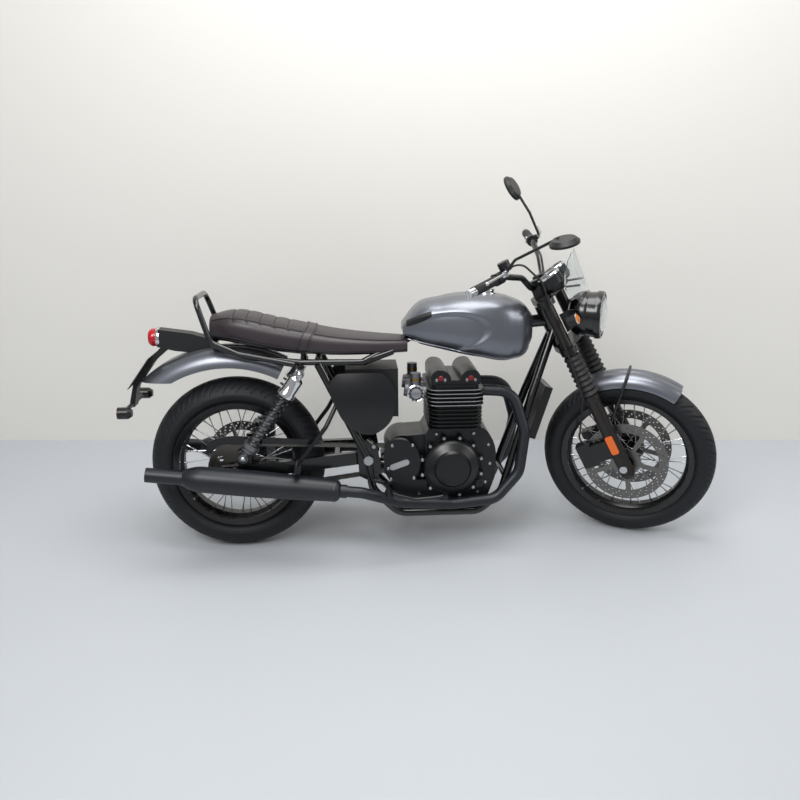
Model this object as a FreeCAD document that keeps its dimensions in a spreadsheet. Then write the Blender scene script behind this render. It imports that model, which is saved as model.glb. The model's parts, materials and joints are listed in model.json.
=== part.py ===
import FreeCAD, Part
import math
import os
import re
import Sketcher

# Modern-classic parallel-twin motorcycle, leaning on its side stand, steering turned right.
# Lengths are in millimetres and angles in degrees. Two working frames are used.
# Bike frame: rear axle at x 0, +X forward, +Y left, +Z up, tyres on z 0 with the bike upright.
# Fork frame: Z along the steering axis, X forward across it, origin where the axis meets the ground.

os.makedirs("parts", exist_ok=True)
doc = FreeCAD.newDocument("motorcycle")
sheet = doc.addObject("Spreadsheet::Sheet", "Dims")

SIZES = {
    # stance and steering geometry
    "wheelbase": 1470,
    "rake": 27,
    "fork_offset": 48,
    "lean": 9,
    "steer": 26,
    # running clearances
    "seat_gap": 0.3,
    "running_gap": 0.5,
    # rear wheel
    "rear_tyre_radius": 320,
    "rear_tyre_width": 150,
    "rear_crown": 78,
    "rear_rim_radius": 232,
    "rear_rim_width": 124,
    # front wheel
    "front_tyre_radius": 318,
    "front_tyre_width": 102,
    "front_crown": 54,
    "front_rim_radius": 243,
    "front_rim_width": 88,
    # parts common to both wheels
    "rim_depth": 31,
    "rim_wall": 6,
    "spoke_count": 36,
    "spoke_radius": 1.7,
    "axle_radius": 10,
    "hub_radius": 27,
    "hub_flange_radius": 43,
    "hub_flange_offset": 30,
    # brakes
    "front_disc_radius": 155,
    "rear_disc_radius": 127.5,
    "disc_thickness": 5,
    "disc_band": 34,
    "front_disc_offset": 62,
    "rear_disc_offset": 97,
    # chain drive, on the right
    "chain_pitch": 15.875,
    "chain_line": 97,
    "link_height": 14,
    "plate_thickness": 2,
    "inner_width": 8.4,
    "rear_teeth": 37,
    "front_teeth": 17,
    "sprocket_thickness": 6,
    "drive_x": 585,
    "drive_z": 348,
    # swingarm
    "pivot_x": 480,
    "pivot_z": 350,
    "pivot_tube_radius": 25,
    "pivot_bolt_radius": 10,
    "arm_width": 26,
    "arm_height": 46,
    "arm_spread": 132,
    "arm_pivot_spread": 84,
    # frame tubes
    "head_tube_low": 838,
    "head_tube_length": 160,
    "head_tube_radius": 30,
    "stem_radius": 15,
    "spine_radius": 23,
    "brace_radius": 13,
    "cradle_radius": 15,
    "cradle_spread": 108,
    "cradle_z": 138,
    "plate_spread": 122,
    "pivot_plate": 12,
    "rail_radius": 11,
    "rail_spread": 116,
    "rail_z": 706,
    # engine
    "case_half_width": 112,
    "case_bottom": 168,
    "case_top": 455,
    "barrel_x": 795,
    "barrel_height": 88,
    "barrel_length": 160,
    "barrel_width": 286,
    "fin_reach": 17,
    "fin_thickness": 4,
    "fin_pitch": 14,
    "barrel_fins": 6,
    "head_height": 80,
    "head_fins": 5,
    "cam_cover_height": 52,
    "clutch_x": 782,
    "clutch_z": 318,
    "clutch_radius": 106,
    "clutch_depth": 66,
    "alternator_radius": 92,
    "alternator_depth": 54,
    # exhaust
    "header_radius": 20,
    "header_reach": 1050,
    "silencer_spread": 206,
    "silencer_radius": 47,
    "silencer_length": 690,
    "tail_radius": 26,
    "silencer_front_x": 385,
    "silencer_front_z": 258,
    "silencer_rise": 6.5,
    # tank and seat
    "tank_rear": 612,
    "tank_front": 1082,
    "tank_width": 284,
    "tank_low": 690,
    "tank_high": 935,
    "seat_rear": -72,
    "seat_front": 628,
    "seat_width": 254,
    "seat_low": 722,
    # fork and controls
    "leg_spread": 98,
    "stanchion_radius": 20.5,
    "slider_radius": 27,
    "slider_top": 640,
    "stanchion_top": 1040,
    "gaiter_top": 806,
    "yoke_low": 812,
    "yoke_thickness": 24,
    "yoke_high": 1006,
    "bar_radius": 11.1,
    "bar_half_width": 392,
    "bar_height": 1078,
    "bar_rise": 127,
    "bar_pullback": 82,
    "grip_radius": 16.5,
    "grip_length": 125,
    "headlight_radius": 84,
    "headlight_depth": 122,
    # suspension
    "shock_spread": 160,
    "shock_low_x": 36,
    "shock_low_z": 375,
    "shock_high_x": 245,
    "shock_high_z": 676,
    "spring_radius": 27,
    "spring_wire": 9,
    "spring_turns": 9,
    # guards and side panels
    "guard_wall": 2,
    "front_guard_gap": 17,
    "front_guard_width": 118,
    "rear_guard_width": 184,
    "rear_guard_radius": 460,
    "panel_inside": 133.4,
    "panel_bulge": 21,
    "panel_wall": 4,
    # brake hose
    "hose_radius": 3.5,
    # side stand
    "stand_pivot_x": 627,
    "stand_pivot_y": 135,
    "stand_pivot_z": 162,
    "stand_radius": 11,
    "stand_head_radius": 14,
    "stand_foot_x": 650,
    "stand_foot_y": 238,
}
for row, (alias, value) in enumerate(SIZES.items(), start=1):
    sheet.set("A%d" % row, alias)
    sheet.set("B%d" % row, str(value))
    sheet.setAlias("B%d" % row, alias)
doc.recompute()

V = FreeCAD.Vector
X_AXIS = V(1, 0, 0)
Y_AXIS = V(0, 1, 0)
Z_AXIS = V(0, 0, 1)
SIDES = (("right", -1), ("left", 1))
nodes = {}
homes = {}


def bound(text):
    """Expression text with each size name pointed at the sheet."""
    return re.sub(r"[a-z_]+", lambda word: "Dims." + word[0] if word[0] in SIZES else word[0], str(text))


def size(text):
    """Number that a size name, or an expression of size names, stands for."""
    return float(sheet.evalExpression(bound(text)))


def turn(axis, angle):
    return FreeCAD.Rotation(axis, angle)


def place(x=0, y=0, z=0, axis=Y_AXIS, angle=0):
    return FreeCAD.Placement(V(x, y, z), turn(axis, angle))


def keep(node, thing, home="bike"):
    """Names a sub-part and notes the working frame that it was drawn in."""
    thing.Label = node
    nodes[node] = thing
    homes[node] = home
    return thing


def solid_feature(name, shape):
    """Document object round a shape made by sweeps, lofts and turns."""
    thing = doc.addObject("Part::Feature", name)
    thing.Shape = shape
    return thing


def new_body(name, role, offset="0"):
    """Body with one empty sketch on an origin plane, set off along the plane's normal."""
    body = doc.addObject("PartDesign::Body", name)
    return body, new_sketch(body, name + "_sketch", role, offset)


def new_sketch(body, name, role, offset="0"):
    plane = [face for face in body.Origin.OriginFeatures if face.Role == role][0]
    sketch = body.newObject("Sketcher::SketchObject", name)
    sketch.AttachmentSupport = [(plane, "")]
    sketch.MapMode = "FlatFace"
    sketch.setExpression("AttachmentOffset.Base.z", bound(offset))
    return sketch


def pin_point(sketch, geometry, corner, point):
    """Holds one sketch point at two sizes taken from the sheet."""
    for kind, text in zip(("DistanceX", "DistanceY"), point):
        number = sketch.addConstraint(Sketcher.Constraint(kind, -1, 1, geometry, corner, size(text)))
        sketch.setExpression("Constraints[%d]" % number, bound(text))


def outline(sketch, points):
    """Closed outline through points. A point marked as an arc bends its stretch through itself."""
    corners = [p for p in points if len(p) == 2]
    count = len(corners)
    bends = {}
    seen = -1
    for p in points:
        if len(p) == 2:
            seen += 1
        else:
            bends[seen] = p[1:]
    ends = []
    first = len(sketch.Geometry)
    for i in range(count):
        a = V(size(corners[i][0]), size(corners[i][1]), 0)
        b = V(size(corners[(i + 1) % count][0]), size(corners[(i + 1) % count][1]), 0)
        if i in bends:
            middle = V(size(bends[i][0]), size(bends[i][1]), 0)
            edge = sketch.addGeometry(Part.Arc(a, middle, b), False)
            start = 1 if sketch.getPoint(edge, 1).distanceToPoint(a) < 1e-4 else 2
        else:
            edge = sketch.addGeometry(Part.LineSegment(a, b), False)
            start = 1
        ends.append((edge, start, 3 - start))
    for i in range(count):
        edge, start, finish = ends[i]
        after, after_start, _ = ends[(i + 1) % count]
        sketch.addConstraint(Sketcher.Constraint("Coincident", edge, finish, after, after_start))
        pin_point(sketch, edge, start, corners[i])
    for i, bend in bends.items():
        dot = sketch.addGeometry(Part.Point(V(size(bend[0]), size(bend[1]), 0)), True)
        pin_point(sketch, dot, 1, bend)
        sketch.addConstraint(Sketcher.Constraint("PointOnObject", dot, 1, ends[i][0]))
    return first


def ring(sketch, radius, x="0", y="0"):
    """Circle whose radius and centre come from the sheet."""
    edge = sketch.addGeometry(Part.Circle(V(size(x), size(y), 0), Z_AXIS, size(radius)), False)
    pin_point(sketch, edge, 3, (x, y))
    number = sketch.addConstraint(Sketcher.Constraint("Radius", edge, size(radius)))
    sketch.setExpression("Constraints[%d]" % number, bound(radius))


def pad(body, sketch, length, side="Symmetric"):
    feature = body.newObject("PartDesign::Pad", sketch.Name + "_pad")
    feature.Profile = sketch
    feature.SideType = side
    feature.setExpression("Length", bound(length))
    return feature


def pocket_through(body, sketch):
    """Cut right through, both ways from the sketch, tested by the volume that it takes away."""
    doc.recompute()
    before = body.Shape.Volume
    feature = body.newObject("PartDesign::Pocket", sketch.Name + "_pocket")
    feature.Profile = sketch
    feature.SideType = "Symmetric"
    feature.Type = "ThroughAll"
    doc.recompute()
    if not body.Shape.Volume < before:
        raise RuntimeError(sketch.Name + " cuts nothing")
    return feature


def plate(name, points, thickness, role="XZ_Plane", holes=()):
    """Flat piece: an outline padded evenly to both sides of its plane, with round holes."""
    body, sketch = new_body(name, role)
    outline(sketch, points)
    for hole in holes:
        ring(sketch, *hole)
    pad(body, sketch, thickness)
    return body


def turned(name, points, angle="360"):
    """Turned piece: an outline in radius and height, swept about the body's Z axis."""
    body, sketch = new_body(name, "XZ_Plane")
    outline(sketch, points)
    feature = body.newObject("PartDesign::Revolution", name + "_turn")
    feature.Profile = sketch
    feature.ReferenceAxis = (sketch, ["V_Axis"])
    feature.Angle = size(angle)
    return body


def round_edges(body, radius, chosen):
    """Rounds the edges of the body that a test picks out."""
    doc.recompute()
    base = body.Tip
    picked = ["Edge%d" % (i + 1) for i, edge in enumerate(base.Shape.Edges) if chosen(edge)]
    feature = body.newObject("PartDesign::Fillet", body.Name + "_round")
    feature.Base = (base, picked)
    feature.setExpression("Radius", bound(radius))
    return feature


def repeat(body, feature, kind, count, length, axis):
    """Repeats one feature along or about an axis of the body and makes the result the tip."""
    pattern = body.newObject("PartDesign::" + kind, feature.Name + "_row")
    pattern.Originals = [feature]
    line = [item for item in body.Origin.OriginFeatures if item.Role == axis][0]
    if kind == "LinearPattern":
        pattern.Direction = (line, [""])
        pattern.Length = length
    else:
        pattern.Axis = (line, [""])
        pattern.Angle = length
    pattern.Occurrences = count
    body.Tip = pattern
    return pattern


def rounded_box(half_x, half_y, corner):
    """Outline of a rectangle with round corners, centred on the sketch origin."""
    inset = "(%s) * 0.2929" % corner
    points = []
    for sx, sy in ((1, -1), (1, 1), (-1, 1), (-1, -1)):
        flat = ("%d * (%s)" % (sx, half_x), "%d * ((%s) - (%s))" % (sy, half_y, corner))
        top = ("%d * ((%s) - (%s))" % (sx, half_x, corner), "%d * (%s)" % (sy, half_y))
        bend = ("arc", "%d * ((%s) - %s)" % (sx, half_x, inset), "%d * ((%s) - %s)" % (sy, half_y, inset))
        points += [flat, bend, top] if sx * sy > 0 else [top, bend, flat]
    return points


def fuse(name, things):
    result = doc.addObject("Part::MultiFuse", name)
    result.Shapes = things
    return result


def pair(name, things):
    """Like pieces of one body that don't touch, kept as one sub-part."""
    result = doc.addObject("Part::Compound", name)
    result.Links = things
    return result


def cut(name, base, tool):
    result = doc.addObject("Part::Cut", name)
    result.Base = base
    result.Tool = tool
    return result


def path(points, bend):
    """Wire of straight runs joined by tangent arcs of one radius, less where a run is short."""
    points = [V(*p) for p in points]
    edges = []
    start = points[0]
    for before, corner, after in zip(points, points[1:], points[2:]):
        back = (before - corner).normalize()
        ahead = (after - corner).normalize()
        half = back.getAngle(ahead) / 2
        room = 0.48 * min((before - corner).Length, (after - corner).Length)
        reach = min(bend / math.tan(half), room)
        radius = reach * math.tan(half)
        a = corner + back * reach
        b = corner + ahead * reach
        middle = (back + ahead).normalize()
        centre = corner + middle * (radius / math.sin(half))
        edges.append(Part.LineSegment(start, a).toShape())
        edges.append(Part.Arc(a, centre - middle * radius, b).toShape())
        start = b
    edges.append(Part.LineSegment(start, points[-1]).toShape())
    return Part.Wire(edges)


def tube(points, radius, bend=60):
    """Round bar along a path."""
    line = path(points, bend)
    first = V(*points[0])
    circle = Part.Wire(Part.makeCircle(radius, first, V(*points[1]) - first))
    swept = line.makePipeShell([circle], True, False)
    return swept


def rod(a, b, radius):
    a = V(*a)
    b = V(*b)
    return Part.makeCylinder(radius, (b - a).Length, a, b - a)


def block(x, y, z):
    """Box between two corners given as three ranges."""
    corner = V(min(x), min(y), min(z))
    return Part.makeBox(max(x) - min(x), max(y) - min(y), max(z) - min(z), corner)


def joined(shapes):
    """One shape out of several that meet, with the seams between them removed."""
    return shapes[0].multiFuse(shapes[1:]).removeSplitter()


def section(x, half_width, low, high, square):
    """Closed cross-section at one x, an oval that a higher exponent makes squarer."""
    middle = (low + high) / 2
    points = []
    for i in range(12):
        angle = math.radians(30 * i + 15)
        c = math.cos(angle)
        s = math.sin(angle)
        y = half_width * math.copysign(abs(c) ** (2 / square), c)
        z = middle + (high - low) / 2 * math.copysign(abs(s) ** (2 / square), s)
        points.append(V(x, y, z))
    curve = Part.BSplineCurve()
    curve.interpolate(points, PeriodicFlag=True)
    return Part.Wire(curve.toShape())


rake = math.radians(size("rake"))
trail = (size("front_tyre_radius") * math.sin(rake) - size("fork_offset")) / math.cos(rake)
axis_foot = size("wheelbase") + trail
axle_height = (size("front_tyre_radius") - size("fork_offset") * math.sin(rake)) / math.cos(rake)


def head_point(height, forward=0, across=0):
    """Point given in the fork frame, with the steering straight ahead, in the bike frame."""
    x = axis_foot - math.sin(rake) * height + math.cos(rake) * forward
    return (x, across, math.cos(rake) * height + math.sin(rake) * forward)


# Wheels. Each is drawn about its own Z axis, which then turns to lie across the bike.
def tyre(name, which):
    """Road tyre: open at the rim, round crown, walls that narrow to the beads."""
    edge = "%s_tyre_radius" % which
    half = "%s_tyre_width / 2" % which
    rim = "%s_rim_radius" % which
    bead = "%s_rim_width / 2 - rim_wall" % which
    crown = "%s_crown" % which
    drop = "(%s - sqrt(%s ^ 2 - (%s - 6) ^ 2))" % (crown, crown, half)
    points = [
        ("%s - 13" % rim, "%s" % bead),
        ("%s + 4" % rim, "%s" % bead),
        ("arc", "%s - %s - 16" % (edge, drop), "%s" % half),
        ("%s - %s" % (edge, drop), "%s - 6" % half),
        ("arc", edge, "0"),
        ("%s - %s" % (edge, drop), "6 - %s" % half),
        ("arc", "%s - %s - 16" % (edge, drop), "-%s" % half),
        ("%s + 4" % rim, "-(%s)" % bead),
        ("%s - 13" % rim, "-(%s)" % bead),
        ("%s - 13" % rim, "11 - (%s)" % bead),
        ("%s + 6" % rim, "8 - (%s)" % bead),
        ("arc", "%s - %s - 16" % (edge, drop), "8 - %s" % half),
        ("%s - %s - 6" % (edge, drop), "13 - %s" % half),
        ("arc", "%s - 12" % edge, "0"),
        ("%s - %s - 6" % (edge, drop), "%s - 13" % half),
        ("arc", "%s - %s - 16" % (edge, drop), "%s - 8" % half),
        ("%s + 6" % rim, "%s - 8" % bead),
        ("%s - 13" % rim, "%s - 11" % bead),
    ]
    return turned(name, points)


def rim(name, which):
    """Rim with two flanges and a dropped centre."""
    edge = "%s_rim_radius" % which
    half = "%s_rim_width / 2" % which
    outer = [
        (edge, half),
        (edge, "%s - rim_wall + seat_gap" % half),
        ("%s - 13 - seat_gap" % edge, "%s - rim_wall + seat_gap" % half),
        ("%s - 15" % edge, "%s - 22" % half),
        ("%s - rim_depth + rim_wall" % edge, "%s / 3" % half),
    ]
    inner = [
        ("%s - rim_depth" % edge, "%s / 3 - 2" % half),
        ("%s - 21" % edge, "%s - 22" % half),
        ("%s - 19" % edge, "%s - 6" % half),
    ]
    mirrored = [(r, "-(%s)" % h) for r, h in reversed(outer)]
    inside = [(r, "-(%s)" % h) for r, h in reversed(inner)]
    return turned(name, outer + mirrored + inside + inner)


def spokes(rim_inside, seat_half):
    """Laced spokes: hub flange to rim, every second one leaning the other way."""
    count = int(size("spoke_count"))
    start_radius = size("hub_flange_radius - 4")
    made = []
    for i in range(count):
        side = 1 if i % 2 else -1
        lean = 1 if (i // 2) % 2 else -1
        rim_angle = 2 * math.pi * i / count
        hub_angle = rim_angle + lean * math.radians(52)
        a = (start_radius * math.cos(hub_angle), start_radius * math.sin(hub_angle),
             side * size("hub_flange_offset"))
        b = (rim_inside * math.cos(rim_angle), rim_inside * math.sin(rim_angle), side * seat_half)
        made.append(rod(a, b, size("spoke_radius")))
    return made


def hub(name, low, high, disc_flanges):
    """Hub barrel with two spoke flanges, a flange for each disc and a bore for the axle."""
    flange = "hub_flange_offset"
    points = [("axle_radius + running_gap", low), ("hub_radius", low)]
    steps = [("-%s" % flange, "hub_flange_radius", "3"), (flange, "hub_flange_radius", "3")]
    steps += [(at, "hub_flange_radius + 4", "4") for at in disc_flanges]
    for at, radius, half in sorted(steps, key=lambda step: size(step[0])):
        points += [("hub_radius", "%s - %s" % (at, half)), (radius, "%s - %s" % (at, half))]
        points += [(radius, "%s + %s" % (at, half)), ("hub_radius", "%s + %s" % (at, half))]
    points += [("hub_radius", high), ("axle_radius + running_gap", high)]
    return turned(name, points)


def wire_wheel(node, which, low, high, disc_flanges, home):
    rim_body = rim(which + "_rim", which)
    hub_body = hub(which + "_hub", low, high, disc_flanges)
    inside = size("%s_rim_radius - rim_depth + 2" % which)
    laced = solid_feature(which + "_spokes", Part.makeCompound(spokes(inside, size("%s_rim_width / 8" % which))))
    doc.recompute()
    shape = joined([rim_body.Shape, hub_body.Shape] + laced.Shape.Solids)
    for helper in (laced,):
        doc.removeObject(helper.Name)
    return keep(node, solid_feature(node, shape), home)


def brake_disc(name, radius):
    """Brake disc: a band carried by five slender arms with large windows between them."""
    body, sketch = new_body(name, "XY_Plane")
    ring(sketch, radius)
    ring(sketch, "hub_radius + seat_gap")
    pad(body, sketch, "disc_thickness")
    window = new_sketch(body, name + "_window", "XY_Plane")
    inner = "(%s - disc_band)" % radius
    boss = "(hub_flange_radius + 12)"
    outline(window, [
        (inner + " * 0.852", "-0.524 * " + inner), ("arc", inner, "0"), (inner + " * 0.852", "0.524 * " + inner),
        (boss + " * 0.891", "0.454 * " + boss), ("arc", boss, "0"), (boss + " * 0.891", "-0.454 * " + boss),
    ])
    opening = pocket_through(body, window)
    repeat(body, opening, "PolarPattern", 5, 360, "Z_Axis")
    return body


rear_pitch_radius = size("chain_pitch") / 2 / math.sin(math.pi / size("rear_teeth"))
front_pitch_radius = size("chain_pitch") / 2 / math.sin(math.pi / size("front_teeth"))


def sprocket(name, teeth, pitch_radius, bore):
    """Chain wheel: a toothed edge, five lightening holes and a bore."""
    tip = pitch_radius + 4
    root = pitch_radius - 5
    step = 2 * math.pi / teeth
    points = []
    for i in range(int(teeth)):
        for shift, radius in ((-0.30, root), (-0.12, tip), (0.12, tip), (0.30, root)):
            angle = step * (i + shift)
            points.append(V(radius * math.cos(angle), radius * math.sin(angle), 0))
    face = Part.Face(Part.makePolygon(points + points[:1]))
    half = size("sprocket_thickness") / 2
    shape = face.extrude(V(0, 0, 2 * half))
    shape.translate(V(0, 0, -half))
    holes = [Part.makeCylinder(bore, 4 * half, V(0, 0, -2 * half))]
    if pitch_radius > 70:
        for i in range(5):
            angle = 2 * math.pi * i / 5
            at = V(66 * math.cos(angle), 66 * math.sin(angle), -2 * half)
            holes.append(Part.makeCylinder(12, 4 * half, at))
    return solid_feature(name, shape.cut(holes))


across = place(0, 0, size("rear_tyre_radius"), X_AXIS, -90)
front_across = place(size("fork_offset"), 0, axle_height, X_AXIS, -90)

keep("rear_tyre", tyre("rear_tyre", "rear"), "bike").Placement = across
keep("front_tyre", tyre("front_tyre", "front"), "fork").Placement = front_across

sprocket_seat = "-chain_line + sprocket_thickness / 2 + 4"
disc_seat = "rear_disc_offset - 4"
rear_wheel = wire_wheel("rear_wheel", "rear", "-chain_line + 2", "rear_disc_offset + disc_thickness",
                        (sprocket_seat, disc_seat), "bike")
rear_wheel.Placement = across
front_seat = "front_disc_offset - 4"
front_wheel = wire_wheel("front_wheel", "front", "-front_disc_offset - disc_thickness",
                         "front_disc_offset + disc_thickness", (front_seat, "-(%s)" % front_seat), "fork")
front_wheel.Placement = front_across

rear_disc = keep("rear_disc", brake_disc("rear_disc", "rear_disc_radius"), "bike")
rear_disc.Placement = across.multiply(place(0, 0, size("rear_disc_offset + disc_thickness / 2")))

disc_pair = []
for side, sign in SIDES:
    one = brake_disc("front_disc_" + side, "front_disc_radius")
    one.Placement = place(0, 0, sign * size("front_disc_offset + disc_thickness / 2"))
    disc_pair.append(one)
keep("front_discs", pair("front_discs", disc_pair), "fork").Placement = front_across

rear_sprocket = keep("rear_sprocket", sprocket("rear_sprocket", size("rear_teeth"), rear_pitch_radius,
                                               size("hub_radius + seat_gap")), "bike")
rear_sprocket.Placement = across.multiply(place(0, 0, -size("chain_line")))


# Drive chain: side plates set along the loop round both chain wheels.
def chain_loop():
    """Points and headings along the chain's pitch line, one for each pin."""
    rear = (0, size("rear_tyre_radius"))
    front = (size("drive_x"), size("drive_z"))
    dx = front[0] - rear[0]
    dz = front[1] - rear[1]
    span = math.hypot(dx, dz)
    slope = math.atan2(dz, dx)
    close = math.asin((rear_pitch_radius - front_pitch_radius) / span)
    run = span * math.cos(close)
    rear_wrap = math.pi + 2 * close
    front_wrap = math.pi - 2 * close
    total = 2 * run + rear_pitch_radius * rear_wrap + front_pitch_radius * front_wrap
    count = 2 * round(total / size("chain_pitch") / 2)
    step = total / count

    def at(s):
        if s < run:
            angle = slope - close
            x = rear[0] - rear_pitch_radius * math.sin(angle) + s * math.cos(angle)
            return x, rear[1] + rear_pitch_radius * math.cos(angle) + s * math.sin(angle)
        s -= run
        if s < front_pitch_radius * front_wrap:
            angle = slope - close + math.pi / 2 - s / front_pitch_radius
            return (front[0] + front_pitch_radius * math.cos(angle),
                    front[1] + front_pitch_radius * math.sin(angle))
        s -= front_pitch_radius * front_wrap
        if s < run:
            angle = slope + close
            x = front[0] + front_pitch_radius * math.sin(angle) - s * math.cos(angle)
            return x, front[1] - front_pitch_radius * math.cos(angle) - s * math.sin(angle)
        s -= run
        angle = slope + close - math.pi / 2 - s / rear_pitch_radius
        return rear[0] + rear_pitch_radius * math.cos(angle), rear[1] + rear_pitch_radius * math.sin(angle)

    return [at(step * i) for i in range(count)]


def link_plate(a, b, near, far):
    """One side plate between two pins, a flat hexagon drawn in the bike's side view."""
    a = V(a[0], near, a[1])
    b = V(b[0], near, b[1])
    along = (b - a).normalize()
    up = V(-along.z, 0, along.x)
    half = size("link_height") / 2
    tip = along * half
    points = [a - tip, a + up * half, b + up * half, b + tip, b - up * half, a - up * half]
    return Part.Face(Part.makePolygon(points + points[:1])).extrude(V(0, far - near, 0))


def chain_shape():
    pins = chain_loop()
    plates = []
    middle = -size("chain_line")
    wall = size("plate_thickness")
    for i in range(len(pins)):
        inner = size("inner_width") / 2 + (wall + 0.1 if i % 2 else 0)
        for sign in (-1, 1):
            near = middle + sign * inner
            plates.append(link_plate(pins[i], pins[(i + 1) % len(pins)], near, near + sign * wall))
    return Part.makeCompound(plates)


keep("drive_chain", solid_feature("drive_chain", chain_shape()))

# Frame: head tube, spine, two downtubes that run on as the cradle, and the pivot plates.
stem_bore = size("stem_radius") + 1
head_low = head_point(size("head_tube_low"))
head_high = head_point(size("head_tube_low + head_tube_length"))
spine_front = head_point(size("head_tube_low + head_tube_length * 0.6"))
spine_rear = (650, 0, 786)
downtube_top = head_point(size("head_tube_low") + 62)
frame_parts = [rod(head_low, head_high, size("head_tube_radius")), rod(spine_front, spine_rear, size("spine_radius"))]
for side, sign in SIDES:
    spread = size("cradle_spread")
    pivot_y = size("plate_spread")
    line = [
        (downtube_top[0], sign * 16, downtube_top[2]),
        (1082, sign * 62, 560),
        (968, sign * spread, 208),
        (884, sign * spread, size("cradle_z")),
        (590, sign * spread, size("cradle_z")),
        (size("pivot_x") + 14, sign * pivot_y, 236),
        (size("pivot_x"), sign * pivot_y, size("pivot_z")),
        (308, sign * size("rail_spread"), size("rail_z") - 4),
    ]
    frame_parts.append(tube(line, size("cradle_radius"), 70))
    frame_parts.append(rod((spine_rear[0] + 12, sign * 8, spine_rear[2]),
                           (470, sign * size("rail_spread"), size("rail_z") + 2), size("brace_radius")))
    low = size("cradle_z")
    for x in (640, 862):
        frame_parts.append(block((x, x + 26), (sign * 88, sign * spread), (low, size("case_bottom") - 0.3)))
for x, z, radius in ((700, size("cradle_z"), 11), (308, size("rail_z") + 12, 11), (986, 262, 10)):
    y = size("cradle_spread") if x > 400 else size("rail_spread")
    frame_parts.append(rod((x, -y, z), (x, y, z), radius))
pivot_outline = [(-34, -62), (26, -92), (46, -34), (34, 40), (-4, 74), (-40, 58)]
for side, sign in SIDES:
    y = sign * size("plate_spread")
    points = [V(size("pivot_x") + x, y - size("pivot_plate") / 2, size("pivot_z") + z) for x, z in pivot_outline]
    face = Part.Face(Part.makePolygon(points + points[:1]))
    frame_parts.append(face.extrude(V(0, size("pivot_plate"), 0)))
lean = math.radians(size("lean"))
ground_at = size("rear_crown") * (1 - 1 / math.cos(lean))
stand_top = V(size("stand_pivot_x"), size("stand_pivot_y"), size("stand_pivot_z"))
stand_foot = V(size("stand_foot_x"), size("stand_foot_y"), ground_at + size("stand_foot_y") * math.tan(lean) + 3.6)
stand_way = (stand_foot - stand_top).normalize()
stowed_way = V(-0.99, 0.12, 0.05).normalize()
stand_axis = stand_way.cross(stowed_way).normalize()
frame_parts.append(rod(tuple(stand_top - stand_axis * 30), tuple(stand_top - stand_axis * 12.5), size("stand_head_radius")))
frame_shape = joined(frame_parts)
bolt_run = size("plate_spread") + 60
frame_shape = frame_shape.cut([
    rod(head_point(size("head_tube_low") - 40), head_point(size("head_tube_low + head_tube_length") + 40), stem_bore),
    rod((size("pivot_x"), -bolt_run, size("pivot_z")), (size("pivot_x"), bolt_run, size("pivot_z")),
        size("pivot_bolt_radius + seat_gap")),
])
# Rear subframe: two rails under the seat, joined behind, with the upper shock pins.
subframe_parts = []
rail_end = (-62, 96, size("rail_z") + 70)
for side, sign in SIDES:
    y = sign * size("rail_spread")
    line = [(574, sign * 78, size("rail_z") + 30), (470, y, size("rail_z")), (240, y, size("rail_z") + 4),
            (60, y, size("rail_z") + 26), (rail_end[0], sign * rail_end[1], rail_end[2])]
    subframe_parts.append(tube(line, size("rail_radius"), 90))
    high = (size("shock_high_x"), y, size("shock_high_z"))
    subframe_parts.append(rod((high[0], y, high[2] + 36), (high[0], y, high[2] - 12), 12))
    subframe_parts.append(rod((high[0], y, high[2]), (high[0], sign * size("shock_spread + 14"), high[2]), 7))
subframe_parts.append(rod((rail_end[0], -rail_end[1], rail_end[2]), (rail_end[0], rail_end[1], rail_end[2]),
                          size("rail_radius")))
frame_shape = joined([frame_shape] + subframe_parts)
keep("main_frame", solid_feature("main_frame", frame_shape))


# Swingarm: two tapered box arms welded to the pivot tube, with shock pins on top.
def box_wire(x, y, z, width, height):
    corners = [V(x, y - width / 2, z - height / 2), V(x, y + width / 2, z - height / 2),
               V(x, y + width / 2, z + height / 2), V(x, y - width / 2, z + height / 2)]
    return Part.makePolygon(corners + corners[:1])


arm_parts = []
wheel_z = size("rear_tyre_radius")
pivot = (size("pivot_x"), size("pivot_z"))
for side, sign in SIDES:
    wide = size("arm_width")
    tall = size("arm_height")
    wires = [
        box_wire(-46, sign * size("arm_spread"), wheel_z, wide, tall - 8),
        box_wire(190, sign * size("arm_spread"), wheel_z + 12, wide, tall),
        box_wire(340, sign * size("arm_spread - 26"), wheel_z + 21, wide, tall),
        box_wire(pivot[0], sign * size("arm_pivot_spread"), pivot[1], wide, tall),
    ]
    arm_parts.append(Part.makeLoft(wires, True, True))
    y = size("arm_spread") * sign
    low = (size("shock_low_x"), y, size("shock_low_z"))
    arm_parts.append(rod((low[0], y - 9 * sign, low[2]), (low[0], sign * size("shock_spread + 14"), low[2]), 7))
    arm_parts.append(block((low[0] - 22, low[0] + 26), (y - 9, y + 9), (wheel_z, low[2] + 14)))
across_pivot = size("arm_pivot_spread + arm_width / 2")
arm_parts.append(rod((pivot[0], -across_pivot, pivot[1]), (pivot[0], across_pivot, pivot[1]), size("pivot_tube_radius")))
arm_parts.append(rod((366, -size("arm_pivot_spread + 10"), wheel_z + 22), (366, size("arm_pivot_spread + 10"), wheel_z + 22), 15))
arm_shape = joined(arm_parts)
arm_run = size("arm_spread") + 60
arm_shape = arm_shape.cut([
    rod((pivot[0], -arm_run, pivot[1]), (pivot[0], arm_run, pivot[1]), size("pivot_bolt_radius + seat_gap")),
    rod((0, -arm_run, wheel_z), (0, arm_run, wheel_z), size("axle_radius + seat_gap")),
])
keep("swingarm", solid_feature("swingarm", arm_shape))

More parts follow.
